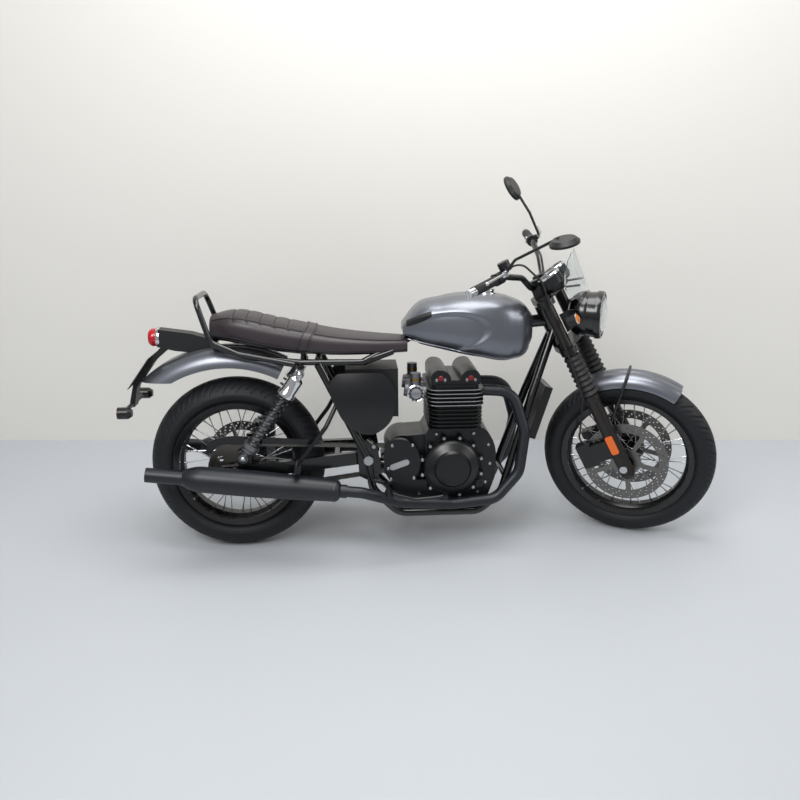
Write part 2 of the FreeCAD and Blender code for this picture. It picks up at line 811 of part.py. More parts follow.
# Pivot bolt and rear axle with its spacers.
bolt_half = size("plate_spread + cradle_radius")
bolt = joined([
    rod((pivot[0], -bolt_half - 9, pivot[1]), (pivot[0], bolt_half + 9, pivot[1]), size("pivot_bolt_radius")),
    rod((pivot[0], -bolt_half - 9, pivot[1]), (pivot[0], -bolt_half, pivot[1]), 17),
    rod((pivot[0], bolt_half, pivot[1]), (pivot[0], bolt_half + 9, pivot[1]), 17),
])
arm_face = size("arm_spread + arm_width / 2")
inner_face = size("arm_spread - arm_width / 2")
hub_right = size("chain_line - 2 + running_gap")
hub_left = size("rear_disc_offset + disc_thickness + running_gap")
axle = joined([
    rod((0, -arm_face - 9, wheel_z), (0, arm_face + 9, wheel_z), size("axle_radius")),
    rod((0, -arm_face - 9, wheel_z), (0, -arm_face, wheel_z), 16),
    rod((0, arm_face, wheel_z), (0, arm_face + 9, wheel_z), 16),
    rod((0, -inner_face, wheel_z), (0, -hub_right, wheel_z), 17),
    rod((0, hub_left, wheel_z), (0, inner_face, wheel_z), 17),
])
keep("axle_and_pivot_bolt", solid_feature("axle_and_pivot_bolt", Part.makeCompound([axle, bolt])))

# Engine. The crankcase is one casting with a bay on the right for the front chain wheel.
case_points = [
    (918, "case_bottom + 30"), (944, 270), (946, 340), ("arc", 938, 400), (900, "case_top"),
    (700, "case_top"), (684, 428), (620, 424), ("arc", 560, 404), (545, 345), ("arc", 556, 262),
    (606, "case_bottom + 24"), (650, "case_bottom"), (872, "case_bottom"),
]
crankcase, case_sketch = new_body("crankcase_casting", "XZ_Plane")
outline(case_sketch, case_points)
pad(crankcase, case_sketch, "2 * case_half_width")
bay = doc.addObject("Part::Box", "chain_bay")
bay.setExpression("Length", bound("clutch_x - 640 + 46"))
bay.setExpression("Width", bound("case_half_width"))
bay.Height = 168
bay.Placement = place(500, -size("case_half_width") - size("chain_line - 14"), 264)
keep("crankcase", cut("crankcase", crankcase, bay))


def finned_block(node, base_z, height, fins, grow):
    """Air-cooled block: a core with thin fins patterned up it, all four corners round."""
    body, core = new_body(node, "XY_Plane")
    half_x = "(barrel_length / 2 + %d)" % grow
    half_y = "(barrel_width / 2 + %d)" % grow
    outline(core, rounded_box(half_x, half_y, "30"))
    pad(body, core, height, "One side")
    fin = new_sketch(body, node + "_fin", "XY_Plane", "fin_pitch / 2")
    outline(fin, rounded_box(half_x + " + fin_reach", half_y + " + fin_reach", "42"))
    first = pad(body, fin, "fin_thickness", "One side")
    doc.recompute()
    repeat(body, first, "LinearPattern", int(size(fins)), size("fin_pitch") * (size(fins) - 1), "Z_Axis")
    body.Placement = place(size("barrel_x"), 0, base_z)
    return keep(node, body)


finned_block("cylinder_block", size("case_top"), "barrel_height", "barrel_fins", 0)
head_z = size("case_top + barrel_height")
finned_block("cylinder_head", head_z, "head_height", "head_fins", 4)

# Cam cover: two long humps across the engine, one over each camshaft, with a sparking-plug valley.
cam_z = size("case_top + barrel_height + head_height")
cam_points = [
    (-88, 0), (88, 0), (88, "cam_cover_height - 34"), ("arc", 82, "cam_cover_height - 10"),
    (54, "cam_cover_height"), ("arc", 26, "cam_cover_height - 12"), (16, "cam_cover_height - 36"),
    (-16, "cam_cover_height - 36"), ("arc", -26, "cam_cover_height - 12"), (-54, "cam_cover_height"),
    ("arc", -82, "cam_cover_height - 10"), (-88, "cam_cover_height - 34"),
]
cam_cover = keep("cam_cover", plate("cam_cover", cam_points, "barrel_width - 6"))
cam_cover.Placement = place(size("barrel_x"), 0, cam_z)

# Side covers of the engine, turned domes on the crankcase faces.
clutch_points = [
    (0, 0), ("clutch_radius", 0), ("clutch_radius", 22), ("arc", "clutch_radius - 6", 34),
    ("clutch_radius - 18", "clutch_depth - 22"), ("clutch_radius - 38", "clutch_depth - 10"),
    ("clutch_radius - 46", "clutch_depth"), (0, "clutch_depth"),
]
clutch_cover = turned("clutch_cover", clutch_points)
clutch_cover.Placement = place(size("clutch_x"), -size("case_half_width"), size("clutch_z"), X_AXIS, 90)
alternator_points = [
    (0, 0), ("alternator_radius", 0), ("alternator_radius", 24), ("arc", "alternator_radius - 7", 38),
    ("alternator_radius - 22", "alternator_depth"), (0, "alternator_depth"),
]
alternator_cover = turned("alternator_cover", alternator_points)
alternator_cover.Placement = place(830, size("case_half_width"), 326, X_AXIS, -90)
gear_points = [(-90, -52), (60, -62), (84, -20), (70, 48), (20, 72), ("arc", -60, 66), (-98, 8)]
gear_cover = plate("gear_cover", gear_points, "26")
gear_cover.Placement = place(652, size("case_half_width") + 13, 318)
sprocket_points = [(-50, -40), (-30, -76), (44, -82), ("arc", 76, -34), (72, 34), ("arc", 36, 74), (-34, 70), (-52, 34)]
sprocket_cover = plate("sprocket_cover", sprocket_points, "24")
sprocket_cover.Placement = place(size("drive_x") + 2, -size("case_half_width") - 12, size("drive_z") - 4)
keep("engine_covers", pair("engine_covers", [clutch_cover, alternator_cover, gear_cover, sprocket_cover]))

# Throttle bodies behind the head, each with a round side cover and a knurled top cap.
throttle_parts = []
for side, sign in SIDES:
    y = sign * 74
    x_head = size("barrel_x - barrel_length / 2 - fin_reach - 4")
    throat = head_z + 48
    throttle_parts.append(rod((x_head - 2, y, throat - 6), (x_head - 78, y, throat + 6), 25))
    throttle_parts.append(rod((x_head - 40, y, throat), (x_head - 40, sign * 128, throat), 30))
    throttle_parts.append(rod((x_head - 40, sign * 100, throat), (x_head - 40, sign * 100, throat + 70), 19))
doc.recompute()
finned_head = nodes["cylinder_head"].Shape
throttles = Part.makeCompound([joined(throttle_parts[:3]), joined(throttle_parts[3:])]).cut(finned_head)
keep("throttle_bodies", solid_feature("throttle_bodies", throttles))

# Airbox and battery block between the side panels.
airbox = doc.addObject("Part::Box", "airbox")
airbox.Length = 190
airbox.Width = 186
airbox.Height = 176
airbox.Placement = place(402, -93, 500)
keep("airbox", airbox)

# Side panels: rounded triangles of domed sheet that stand just outside the frame tubes.
panel_points = [
    (-114, 110), ("arc", 3, 115), (116, 110), ("arc", 126, 103), (128, 88), ("arc", 126, 30), (115, -22),
    ("arc", 104, -58), (78, -90), ("arc", 58, -107), (32, -112), ("arc", 0, -108), (-32, -92),
    ("arc", -64, -62), (-90, -14), ("arc", -114, 42), (-126, 92), ("arc", -124, 104),
]
panels = []
dome = 400
for side, sign in SIDES:
    block_body = plate("side_panel_" + side, panel_points, "80")
    block_body.Placement = place(461, sign * size("panel_inside + 39.5"), 556)
    doc.recompute()
    centre = V(456, sign * (size("panel_inside + panel_bulge") - dome), 566)
    shell_outside = Part.makeSphere(dome, centre)
    shell_inside = Part.makeSphere(dome - size("panel_wall"), centre)
    sheet_shape = block_body.Shape.common(shell_outside).cut(shell_inside)
    panels.append(max(sheet_shape.Solids, key=lambda s: s.Volume))
    doc.removeObject(block_body.Name)
keep("side_panels", solid_feature("side_panels", Part.makeCompound(panels)))

# Radiator in front of the downtubes.
radiator = doc.addObject("Part::Box", "radiator_core")
radiator.Length = 30
radiator.Width = 176
radiator.Height = 200
slope = math.degrees(math.atan2(1082 - 968, 560 - 208))
radiator.Placement = place(1049 + 17, -88, 410, Y_AXIS, slope)
keep("radiator", radiator)

# Exhaust: header pipes in one sweep, silencers turned and bored at the tail.
pipes = []
silencers = []
for side, sign in SIDES:
    reach = size("header_reach")
    front = (size("silencer_front_x"), sign * size("silencer_spread - 2"), size("silencer_front_z"))
    rise = math.tan(math.radians(size("silencer_rise")))
    line = [
        (size("barrel_x + barrel_length / 2 + fin_reach + 5"), sign * 86, head_z + 48),
        (reach - 42, sign * 94, head_z + 42), (reach, sign * 120, 440), (reach - 22, sign * 138, 292),
        (reach - 110, sign * 150, 196), (780, sign * 158, 184), (600, sign * 176, 200),
        (front[0] + 70, front[1], front[2] - 70 * rise), front,
    ]
    pipes.append(tube(line, size("header_radius"), 78).cut(finned_head))
    s_points = [
        (0, 0.3), ("header_radius + seat_gap", 0.3), ("header_radius + seat_gap", -16), ("header_radius + 4", -16),
        ("header_radius + 4", 8), ("arc", "silencer_radius - 11", 16),
        ("silencer_radius - 7", 34), ("silencer_radius - 4", 130), ("arc", "silencer_radius", 320),
        ("silencer_radius - 1", 488), ("arc", "silencer_radius - 7", 532), ("tail_radius", 562),
        ("tail_radius", "silencer_length"), ("tail_radius - 3", "silencer_length"),
        ("tail_radius - 3", "silencer_length - 140"), (0, "silencer_length - 140"),
    ]
    silencer = turned("silencer_" + side, s_points)
    silencer.Placement = place(front[0], front[1], front[2], Y_AXIS, -90 + size("silencer_rise"))
    silencers.append(silencer)
keep("header_pipes", solid_feature("header_pipes", Part.makeCompound(pipes)))
keep("silencers", pair("silencers", silencers))

# Fuel tank: lofted oval sections, with a tunnel under it for the spine.
tank_sections = ((0, 0.50, 0.36, 0.58, 2.6), (0.10, 0.66, 0.28, 0.82, 2.7), (0.30, 0.86, 0.18, 0.95, 2.8),
                 (0.58, 1.0, 0.06, 1.0, 2.9), (0.84, 0.88, 0.01, 0.93, 2.9), (0.95, 0.64, 0.10, 0.82, 2.8),
                 (1, 0.38, 0.26, 0.70, 2.6))
tank_span = size("tank_front - tank_rear")
tank_tall = size("tank_high - tank_low")
tank_wires = [
    section(size("tank_rear") + t * tank_span, w * size("tank_width") / 2, size("tank_low") + a * tank_tall,
            size("tank_low") + b * tank_tall, square)
    for t, w, a, b, square in tank_sections
]
tunnel_reach = size("spine_radius + seat_gap")
spine_way = (V(*spine_front) - V(*spine_rear)).normalize()
spine_up = spine_way.cross(V(0, -1, 0))
tunnel_start = V(*spine_rear) - spine_way * 60
tunnel_side = V(0, tunnel_reach, 0)
tunnel_depth = spine_up * 170
tunnel_wire = Part.Wire([
    Part.Arc(tunnel_start - tunnel_side, tunnel_start + spine_up * tunnel_reach, tunnel_start + tunnel_side).toShape(),
    Part.makeLine(tunnel_start + tunnel_side, tunnel_start + tunnel_side - tunnel_depth),
    Part.makeLine(tunnel_start + tunnel_side - tunnel_depth, tunnel_start - tunnel_side - tunnel_depth),
    Part.makeLine(tunnel_start - tunnel_side - tunnel_depth, tunnel_start - tunnel_side),
])
tunnel = Part.Face(tunnel_wire).extrude(spine_way * 620)
# A pocket behind the tunnel for the two rail braces, which spread to the rear.
brace_pocket = block((size("tank_rear") - 12, spine_rear[0] + 20), (-58, 58),
                     (640, spine_rear[2] + size("brace_radius + seat_gap")))
tank_shape = Part.makeLoft(tank_wires, True, False).cut([tunnel, brace_pocket])
keep("fuel_tank", solid_feature("fuel_tank", max(tank_shape.Solids, key=lambda s: s.Volume)))
cap = turned("cap_turned", [(0, -6), (33, -6), (33, 8), ("arc", 30, 13), (24, 15), (0, 15)])
cap.Placement = place(918, 0, size("tank_high"), Y_AXIS, 0)
doc.recompute()
keep("tank_cap", solid_feature("tank_cap", cap.Shape.cut(tank_shape)))

# Seat: one soft closed form, lower in front, on the rails.
seat_sections = ((0, 0.62, 60, 146, 2.6), (0.08, 0.84, 54, 160, 2.7), (0.35, 1.0, 18, 128, 3.0),
                 (0.62, 0.98, 2, 86, 3.0), (0.84, 0.80, 1, 66, 3.0), (1, 0.56, 4, 58, 3.0))
seat_span = size("seat_front - seat_rear")
seat_wires = [
    section(size("seat_rear") + t * seat_span, w * size("seat_width") / 2, size("seat_low") + a,
            size("seat_low") + b, square)
    for t, w, a, b, square in seat_sections
]
seat_shape = Part.makeLoft(seat_wires, True, False).cut([frame_shape, tank_shape])
keep("seat", solid_feature("seat", max(seat_shape.Solids, key=lambda s: s.Volume)))

# Grab rail round the back of the seat.
rail_line = []
for sign in (-1, 1):
    half = [(226, sign * 139, 706), (30, sign * 141, 748), (-62, sign * 138, 790), (-112, sign * 112, 938)]
    rail_line += half if sign < 0 else list(reversed(half))
grab = [tube(rail_line, 10, 42)]
for sign in (-1, 1):
    grab.append(rod((205, sign * 120, 711), (205, sign * 139, 711), 9))
    grab.append(rod((-16, sign * 105, 762), (-16, sign * 139, 768), 8))
keep("grab_rail", solid_feature("grab_rail", joined(grab).cut([frame_shape])))


# Mudguards: an open U section turned part of the way round.
def guard(name, radius, width, depth, wall, angle):
    """U-shaped guard section swept about the body's Z axis, starting at its X axis."""
    half = width / 2
    outer = [(radius - depth, -half), ("arc", radius - 0.18 * depth, -0.8 * half), (radius, 0),
             ("arc", radius - 0.18 * depth, 0.8 * half), (radius - depth, half)]
    inner = [(radius - depth, half - wall), ("arc", radius - 0.18 * depth - wall, 0.8 * half - wall * 0.7),
             (radius - wall, 0), ("arc", radius - 0.18 * depth - wall, wall * 0.7 - 0.8 * half),
             (radius - depth, wall - half)]
    return turned(name, outer + inner, angle)


front_guard_radius = size("front_tyre_radius + front_guard_gap")
front_guard = guard("front_guard_sheet", front_guard_radius, size("front_guard_width"), 40, size("guard_wall"), 66)
front_guard.Placement = front_across.multiply(place(0, 0, 0, Z_AXIS, -98))
keep("front_mudguard", front_guard, "fork")
rear_arc = guard("rear_guard_sheet", size("rear_guard_radius"), size("rear_guard_width"), 62, size("guard_wall"), 69)
rear_arc.Placement = place(-20, 0, 290, X_AXIS, -90).multiply(place(0, 0, 0, Z_AXIS, -132))
doc.recompute()
below_tip = block((-600, -150), (-200, 200), (300, 637))
rear_guard = keep("rear_mudguard", solid_feature("rear_mudguard", rear_arc.Shape.cut(below_tip)))
doc.removeObject(rear_arc.Name)

# Tail: lamp housing with its lens, plate bracket with a blank plate, rear indicators.
housing_points = [(-262, 758), (-205, 744), (-130, 735), (-60, 745), (-60, 780), (-150, 806), (-262, 822)]
housing = plate("lamp_housing_block", housing_points, "66")
plate_tilt = math.radians(36)
plate_foot = V(-371, 0, 618)
plate_up = V(math.sin(plate_tilt), 0, math.cos(plate_tilt))
plate_in = V(math.cos(plate_tilt), 0, -math.sin(plate_tilt))
behind_plate = [plate_foot + plate_in * 2.3 + plate_up * run for run in (126, 10)]
bracket_points = [(-256, 758)] + [(p.x, p.z) for p in behind_plate] + [
    (-380, 556), (-377, 540), (-364, 540), (-350, 612), (-282, 706), (-222, 757)]
bracket = plate("plate_bracket", bracket_points, "60")
doc.recompute()
tail_shape = housing.Shape.fuse([bracket.Shape, rod((-372, -118, 550), (-372, 118, 550), 8)])
tail_shape = tail_shape.cut([frame_shape, rear_guard.Shape, nodes["seat"].Shape])
for helper in (housing, bracket):
    doc.removeObject(helper.Name)
keep("tail_bracket", solid_feature("tail_bracket", max(tail_shape.Solids, key=lambda s: s.Volume)))
lens = keep("tail_lamp_lens", turned("tail_lamp_lens", [(0, 0), (32, 0), (32, 22), ("arc", 28, 34), (10, 40), (0, 40)]))
lens.Placement = place(-262.3, 0, 790, Y_AXIS, -90)
number_plate = doc.addObject("Part::Box", "number_plate")
number_plate.Length = 2
number_plate.Width = 180
number_plate.Height = 136
number_plate.Placement = place(plate_foot.x, -90, plate_foot.z, Y_AXIS, math.degrees(plate_tilt))
keep("number_plate", number_plate)


def indicator(x, y, z, outward, facing):
    """Small round lamp on a short stalk that points outward."""
    stalk = rod((x, y, z), (x, y + outward * 34, z), 5.5)
    lamp = rod((x - 18, y + outward * 46, z), (x + 18, y + outward * 46, z), 21)
    cone = Part.makeCone(21, 12, 14, V(x + 18 * facing, y + outward * 46, z), V(facing, 0, 0))
    return joined([stalk, lamp, cone])


rear_lamps = [indicator(-372, sign * 118.3, 550, sign, 1) for sign in (-1, 1)]
keep("rear_indicators", solid_feature("rear_indicators", Part.makeCompound(rear_lamps)))

# Shock absorbers: damper, spring drawn as a ribbed sleeve, top can and two eyes.
low = V(size("shock_low_x"), 0, size("shock_low_z"))
high = V(size("shock_high_x"), 0, size("shock_high_z"))
stroke = (high - low).Length
spring_low = 62
spring_high = stroke - 88
turns = int(size("spring_turns"))
step = (spring_high - spring_low) / turns
coil = size("spring_radius")
wire = size("spring_wire")
damper_points = [(0, 12), (14, 12), (17, 24), (24, 30), (24, 40), (31, 46), (31, spring_low)]
for i in range(turns):
    z = spring_low + step * i
    damper_points += [(coil - wire, z + 0.1), (coil - wire, z + step - wire), (coil, z + step - wire * 0.75),
                      (coil, z + step - wire * 0.25)]
damper_points += [(31, spring_high), (31, spring_high + 8), (27, spring_high + 14), (27, stroke - 22),
                  (16, stroke - 12), (0, stroke - 12)]
shock_pair = []
for side, sign in SIDES:
    damper = turned("damper_" + side, damper_points)
    doc.recompute()
    angle = math.degrees(math.atan2(high.x - low.x, high.z - low.z))
    shape = damper.Shape.copy()
    y = sign * size("shock_spread")
    shape.Placement = place(low.x, y, low.z, Y_AXIS, angle)
    eyes = [rod((end.x, y - 12, end.z), (end.x, y + 12, end.z), 16) for end in (low, high)]
    whole = joined([shape] + eyes)
    whole = whole.cut([rod((end.x, y - 20, end.z), (end.x, y + 20, end.z), 7.3) for end in (low, high)])
    shock_pair.append(whole)
    doc.removeObject(damper.Name)
keep("shock_absorbers", solid_feature("shock_absorbers", Part.makeCompound(shock_pair)))

# Chain guard over the upper run.
guard_points = [(-104, 66), (-96, 104), ("arc", -40, 122), (20, 124), (300, 104), (318, 92), (300, 86), (96, 94), (-8, 92), ("arc", -60, 86), (-84, 62)]
chain_guard = keep("chain_guard", plate("chain_guard", guard_points, "3"))
chain_guard.Placement = place(0, -size("chain_line") - 15, wheel_z)

# Rider's footrests with the brake pedal and the gear lever.
rest_parts = []
for side, sign in SIDES:
    peg = [tube([(496, sign * 128, 272), (546, sign * 152, 266), (548, sign * 228, 258)], 8, 24)]
    peg.append(rod((548, sign * 226, 258), (548, sign * 302, 258), 14))
    peg.append(tube([(548, sign * 232, 256), (640, sign * 238, 232), (708, sign * 240, 238), (748, sign * 240, 244)], 6, 30))
    peg.append(rod((748, sign * 214, 244), (748, sign * 262, 244), 9))
    rest_parts.append(peg[0].fuse(peg[1:]).cut(frame_shape))

# Passenger footrests on hangers that also hold the silencers.
hanger_parts = []
for side, sign in SIDES:
    y = sign * 152
    arm = tube([(372, sign * 121, 560), (330, y, 480), (232, y, 352)], 8, 40)
    peg = rod((232, y, 352), (232, sign * 262, 356), 12)
    hanger_parts.append(arm.fuse(peg).cut(frame_shape))
keep("footrests", solid_feature("footrests", Part.makeCompound(rest_parts + hanger_parts)))

# Steering: yokes, stem, fork legs, gaiters and axle.
offset = size("fork_offset")
spread = size("leg_spread")


def yoke(bottom, thickness):
    """Plate that joins both fork legs to the stem."""
    arms = [Part.makeCylinder(32, thickness, V(offset, s * spread, bottom)) for s in (-1, 1)]
    middle = Part.makeCylinder(30, thickness, V(0, 0, bottom))
    web = [V(-28, -10, bottom), V(offset - 28, -spread, bottom), V(offset + 26, -spread, bottom),
           V(offset + 4, 0, bottom), V(offset + 26, spread, bottom), V(offset - 28, spread, bottom), V(-28, 10, bottom)]
    body = Part.Face(Part.makePolygon(web + web[:1])).extrude(V(0, 0, thickness))
    return [body, middle] + arms


stem = rod((0, 0, size("yoke_low")), (0, 0, size("yoke_high + yoke_thickness + 12")), size("stem_radius"))
yokes = joined(yoke(size("yoke_low"), size("yoke_thickness")) + yoke(size("yoke_high"), size("yoke_thickness")) + [stem])
leg_bores = [Part.makeCylinder(size("stanchion_radius + seat_gap"), 400, V(offset, s * spread, 780)) for s in (-1, 1)]
keep("yokes", solid_feature("yokes", yokes.cut(leg_bores)), "fork")

leg_points = [
    (0, -34), ("slider_radius - 7", -34), ("slider_radius", -20), ("slider_radius", 60),
    ("slider_radius - 1", 74), ("slider_radius - 1", "slider_top - 346"), ("slider_radius + 2", "slider_top - 340"),
    ("slider_radius + 2", "slider_top - 322"), ("stanchion_radius", "slider_top - 322"),
    ("stanchion_radius", "stanchion_top - 322"), (0, "stanchion_top - 322"),
]
legs = []
for side, sign in SIDES:
    leg = turned("leg_" + side, leg_points)
    leg.Placement = place(offset, sign * spread, axle_height - 12)
    bore = doc.addObject("Part::Cylinder", "axle_bore_" + side)
    bore.setExpression("Radius", bound("axle_radius + seat_gap"))
    bore.Height = 120
    bore.Placement = place(offset, sign * spread - 60, axle_height, X_AXIS, -90)
    legs.append(cut("fork_leg_" + side, leg, bore))
keep("fork_legs", pair("fork_legs", legs), "fork")

gaiter_low = axle_height - 12 + size("slider_top") - 322
gaiter_pair = []
ribs = 8
rib = (size("gaiter_top") - 4 - gaiter_low) / ribs
gaiter_points = [("stanchion_radius + seat_gap", 0.4)]
for i in range(ribs):
    gaiter_points += [(27, 0.4 + rib * i), (35 - i * 0.4, rib * (i + 0.5))]
gaiter_points += [(27, rib * ribs), ("stanchion_radius + seat_gap", rib * ribs)]
for side, sign in SIDES:
    sleeve = turned("gaiter_" + side, gaiter_points)
    sleeve.Placement = place(offset, sign * spread, gaiter_low)
    gaiter_pair.append(sleeve)
keep("fork_gaiters", pair("fork_gaiters", gaiter_pair), "fork")

hub_end = size("front_disc_offset + disc_thickness + running_gap")
leg_inner = spread - size("slider_radius")
front_axle = [rod((offset, -spread - 34, axle_height), (offset, spread + 34, axle_height), size("axle_radius"))]
for sign in (-1, 1):
    front_axle.append(rod((offset, sign * hub_end, axle_height), (offset, sign * (leg_inner + 1), axle_height), 14))
    front_axle.append(rod((offset, sign * (spread + 27.3), axle_height), (offset, sign * (spread + 34), axle_height), 14))
doc.recompute()
keep("front_axle", solid_feature("front_axle", joined(front_axle).cut([leg.Shape for leg in legs])), "fork")

# Front calipers behind the fork legs, each open for its disc.
caliper_pair = []
for sign in (-1, 1):
    disc_mid = sign * size("front_disc_offset + disc_thickness / 2")
    near = min(disc_mid - 20, disc_mid + 20)
    body = Part.makeBox(58, 40, 96, V(offset - 148, near, axle_height + 26))
    lug = block((offset - 96, offset - 20), (sign * (spread - 18), sign * (spread - 6)), (axle_height + 40, axle_height + 112))
    slot = Part.makeBox(300, 15, 260, V(offset - 240, disc_mid - 7.5, axle_height - 20))
    slot_round = Part.makeCylinder(size("front_disc_radius") + 6, 15, V(offset, disc_mid - 7.5, axle_height), Y_AXIS)
    caliper_pair.append(joined([body, lug]).cut([slot.common(slot_round)]).cut([leg.Shape for leg in legs]))
keep("front_calipers", solid_feature("front_calipers", Part.makeCompound(caliper_pair)), "fork")

# Handlebar, its clamps, grips, controls and levers.
bar_z = size("bar_height")
bar_end = {s: V(20 - size("bar_pullback"), s * size("bar_half_width"), bar_z + size("bar_rise")) for s in (-1, 1)}
bar_knee = {s: V(20 - 24, s * 236, bar_z + size("bar_rise") - 18) for s in (-1, 1)}
bar_line = [tuple(bar_end[-1]), tuple(bar_knee[-1]), (24, -142, bar_z + 62), (20, -88, bar_z), (20, 88, bar_z),
            (24, 142, bar_z + 62), tuple(bar_knee[1]), tuple(bar_end[1])]
bar_shape = tube(bar_line, size("bar_radius"), 55)
keep("handlebar", solid_feature("handlebar", bar_shape), "fork")
clamp_parts = []
for sign in (-1, 1):
    tower = Part.makeBox(36, 26, bar_z + 18 - size("yoke_high + yoke_thickness") - 0.3,
                         V(2, sign * 36 - 13, size("yoke_high + yoke_thickness") + 0.3))
    clamp_parts.append(tower.cut(rod((20, -90, bar_z), (20, 90, bar_z), size("bar_radius + seat_gap"))))
grip_parts = []
control_shapes = []
for side, sign in SIDES:
    inward = (bar_knee[sign] - bar_end[sign]).normalize()
    end = bar_end[sign]
    grip = rod(tuple(end), tuple(end + inward * size("grip_length")), size("grip_radius"))
    grip = grip.cut(rod(tuple(end - inward * 10), tuple(end + inward * 200), size("bar_radius + seat_gap")))
    weight = rod(tuple(end - inward * 26), tuple(end - inward * 0.3), size("grip_radius - 2"))
    grip_parts += [grip, weight]
    start = end + inward * size("grip_length + 0.5")
    pod = rod(tuple(start), tuple(start + inward * 34), 21)
    ahead = V(34, 0, 6)
    perch = rod(tuple(start + inward * 16), tuple(start + inward * 16 + ahead), 11)
    root = start + inward * 16 + ahead
    lever = tube([tuple(root), tuple(root - inward * 30 + V(14, 0, 2)), tuple(end + V(50, 0, 6) + inward * 10)], 5, 20)
    ball = Part.makeSphere(7, end + V(50, 0, 6) + inward * 10)
    pieces = [pod, perch, lever, ball]
    if side == "right":
        pieces.append(Part.makeCylinder(21, 34, root + V(-6, 34, 2)))
        pieces.append(rod(tuple(root), tuple(root + V(-6, 40, 8)), 10))
    bar_room = rod(tuple(end - inward * 10), tuple(end + inward * 200), size("bar_radius + seat_gap"))
    control = pieces[0].fuse(pieces[1:]).cut(bar_room)
    control_shapes.append(control)
keep("controls", solid_feature("controls", Part.makeCompound(control_shapes)), "fork")
keep("grips", solid_feature("grips", Part.makeCompound(grip_parts)), "fork")

# Headlight on two ears, its lens in front; clocks above; small screen ahead of them.
forward = place(78, 0, 930, Y_AXIS, 90 + size("rake"))
shell_points = [
    (0, 0), (34, 0), ("arc", 74, 26), ("headlight_radius - 4", 72), ("headlight_radius - 2", "headlight_depth - 22"),
    ("headlight_radius", "headlight_depth - 20"), ("headlight_radius", "headlight_depth"),
    ("headlight_radius - 8", "headlight_depth"), ("headlight_radius - 8", "headlight_depth - 14"),
    (0, "headlight_depth - 34"),
]
shell = keep("headlight_shell", turned("headlight_shell", shell_points), "fork")
shell.Placement = forward
glass_points = [
    (0, "headlight_depth - 10"), ("headlight_radius - 8.3", "headlight_depth - 13"),
    ("headlight_radius - 8.3", "headlight_depth - 4"), ("arc", 48, "headlight_depth + 8"),
    (14, "headlight_depth + 12"), (0, "headlight_depth + 12"),
]
glass = keep("headlight_lens", turned("headlight_lens", glass_points), "fork")
glass.Placement = forward
ear_points = [(69, 884), (112, 900), (136, 922), (136, 950), (108, 960), (69, 956)]
ears = []
for sign in (-1, 1):
    ear = plate("headlight_ear_%s" % ("left" if sign > 0 else "right"), ear_points, "4")
    ear.Placement = place(0, sign * (size("headlight_radius") + 2.3), 0)
    ears.append(ear)
clock_pair = []
clock_points = [(0, 0), (34, 0), (42, 14), (42, 56), (38, 58), (38, 52), (0, 52)]
for side, sign in SIDES:
    clock = turned("clock_" + side, clock_points)
    clock.Placement = place(92, sign * 48, 1040, Y_AXIS, -10)
    clock_pair.append(clock)
clock_bridge = doc.addObject("Part::Box", "clock_bridge")
clock_bridge.Length = 74
clock_bridge.Width = 92
clock_bridge.Height = 9
clock_bridge.Placement = place(40, -46, size("yoke_high + yoke_thickness") + 0.3)
doc.recompute()
screen_tilt = place(24, 0, 1002, Y_AXIS, 6)
screen_ring = Part.makeCylinder(152, 170).cut(Part.makeCylinder(149, 170))
half_arch = [V(0, 100, 0), V(0, 106, 52), V(0, 92, 96), V(0, 66, 130), V(0, 30, 148)]
arch = half_arch + [V(0, -p.y, p.z) for p in reversed(half_arch)]
screen_mask = Part.Face(Part.makePolygon(arch + arch[:1])).extrude(V(300, 0, 0))
screen = solid_feature("flyscreen", screen_ring.common(screen_mask))
screen.Placement = screen_tilt
keep("flyscreen", screen, "fork")
stays = [rod((108, s * 40, 1034.5), (171, s * 46, 1018), 4).cut(screen.Shape) for s in (-1, 1)]
stays = [max(stay.Solids, key=lambda s: s.Volume) for stay in stays]
keep("clocks", fuse("clocks", clock_pair + [clock_bridge, solid_feature("screen_stays", Part.makeCompound(stays))]), "fork")


# Mirrors: bent stem and a shallow round head.
def mirror(points, centre, facing):
    stem_shape = tube(points, 5, 30)
    head = Part.makeCone(38, 50, 12, V(0, 0, -12)).fuse(Part.makeCylinder(50, 8))
    head.Placement = FreeCAD.Placement(V(*centre), FreeCAD.Rotation(Z_AXIS, V(*facing)))
    return joined([stem_shape, head]).cut(control_shapes)


left_mirror = mirror([(24, 256, 1200), (26, 262, 1290), (10, 276, 1392)], (2, 282, 1400), (-1, 0, -0.1))
right_mirror = mirror([(24, -256, 1200), (70, -262, 1226), (240, -280, 1236)], (252, -286, 1218), (-0.3, 0.1, -1))
keep("mirrors", solid_feature("mirrors", Part.makeCompound([left_mirror, right_mirror])), "fork")

# Brace over the front mudguard, and the front indicators.
brace_angle = 24
brace_line = []
for sign in (-1, 1):
    a = math.radians(brace_angle)
    r = front_guard_radius
    half = [(offset + 8, sign * (spread - 20), axle_height + 162),
            (offset + (r - 40) * math.sin(a) * 0.86, sign * (spread - 20), axle_height + (r - 40) * math.cos(a)),
            (offset + (r + 6) * math.sin(a), sign * 52, axle_height + (r + 6) * math.cos(a))]
    brace_line += half if sign < 0 else list(reversed(half))
brace = tube(brace_line, 5, 26).cut([leg.Shape for leg in legs] + [front_guard.Shape])
brace_solid = solid_feature("guard_brace", max(brace.Solids, key=lambda s: s.Volume))
clamp_solid = solid_feature("bar_clamps", Part.makeCompound(clamp_parts))
keep("fork_brackets", pair("fork_brackets", ears + [brace_solid, clamp_solid]), "fork")
front_pair = [indicator(120, sign * (size("headlight_radius") + 4.6), 930, sign, -1) for sign in (-1, 1)]
keep("front_indicators", solid_feature("front_indicators", Part.makeCompound(front_pair)), "fork")

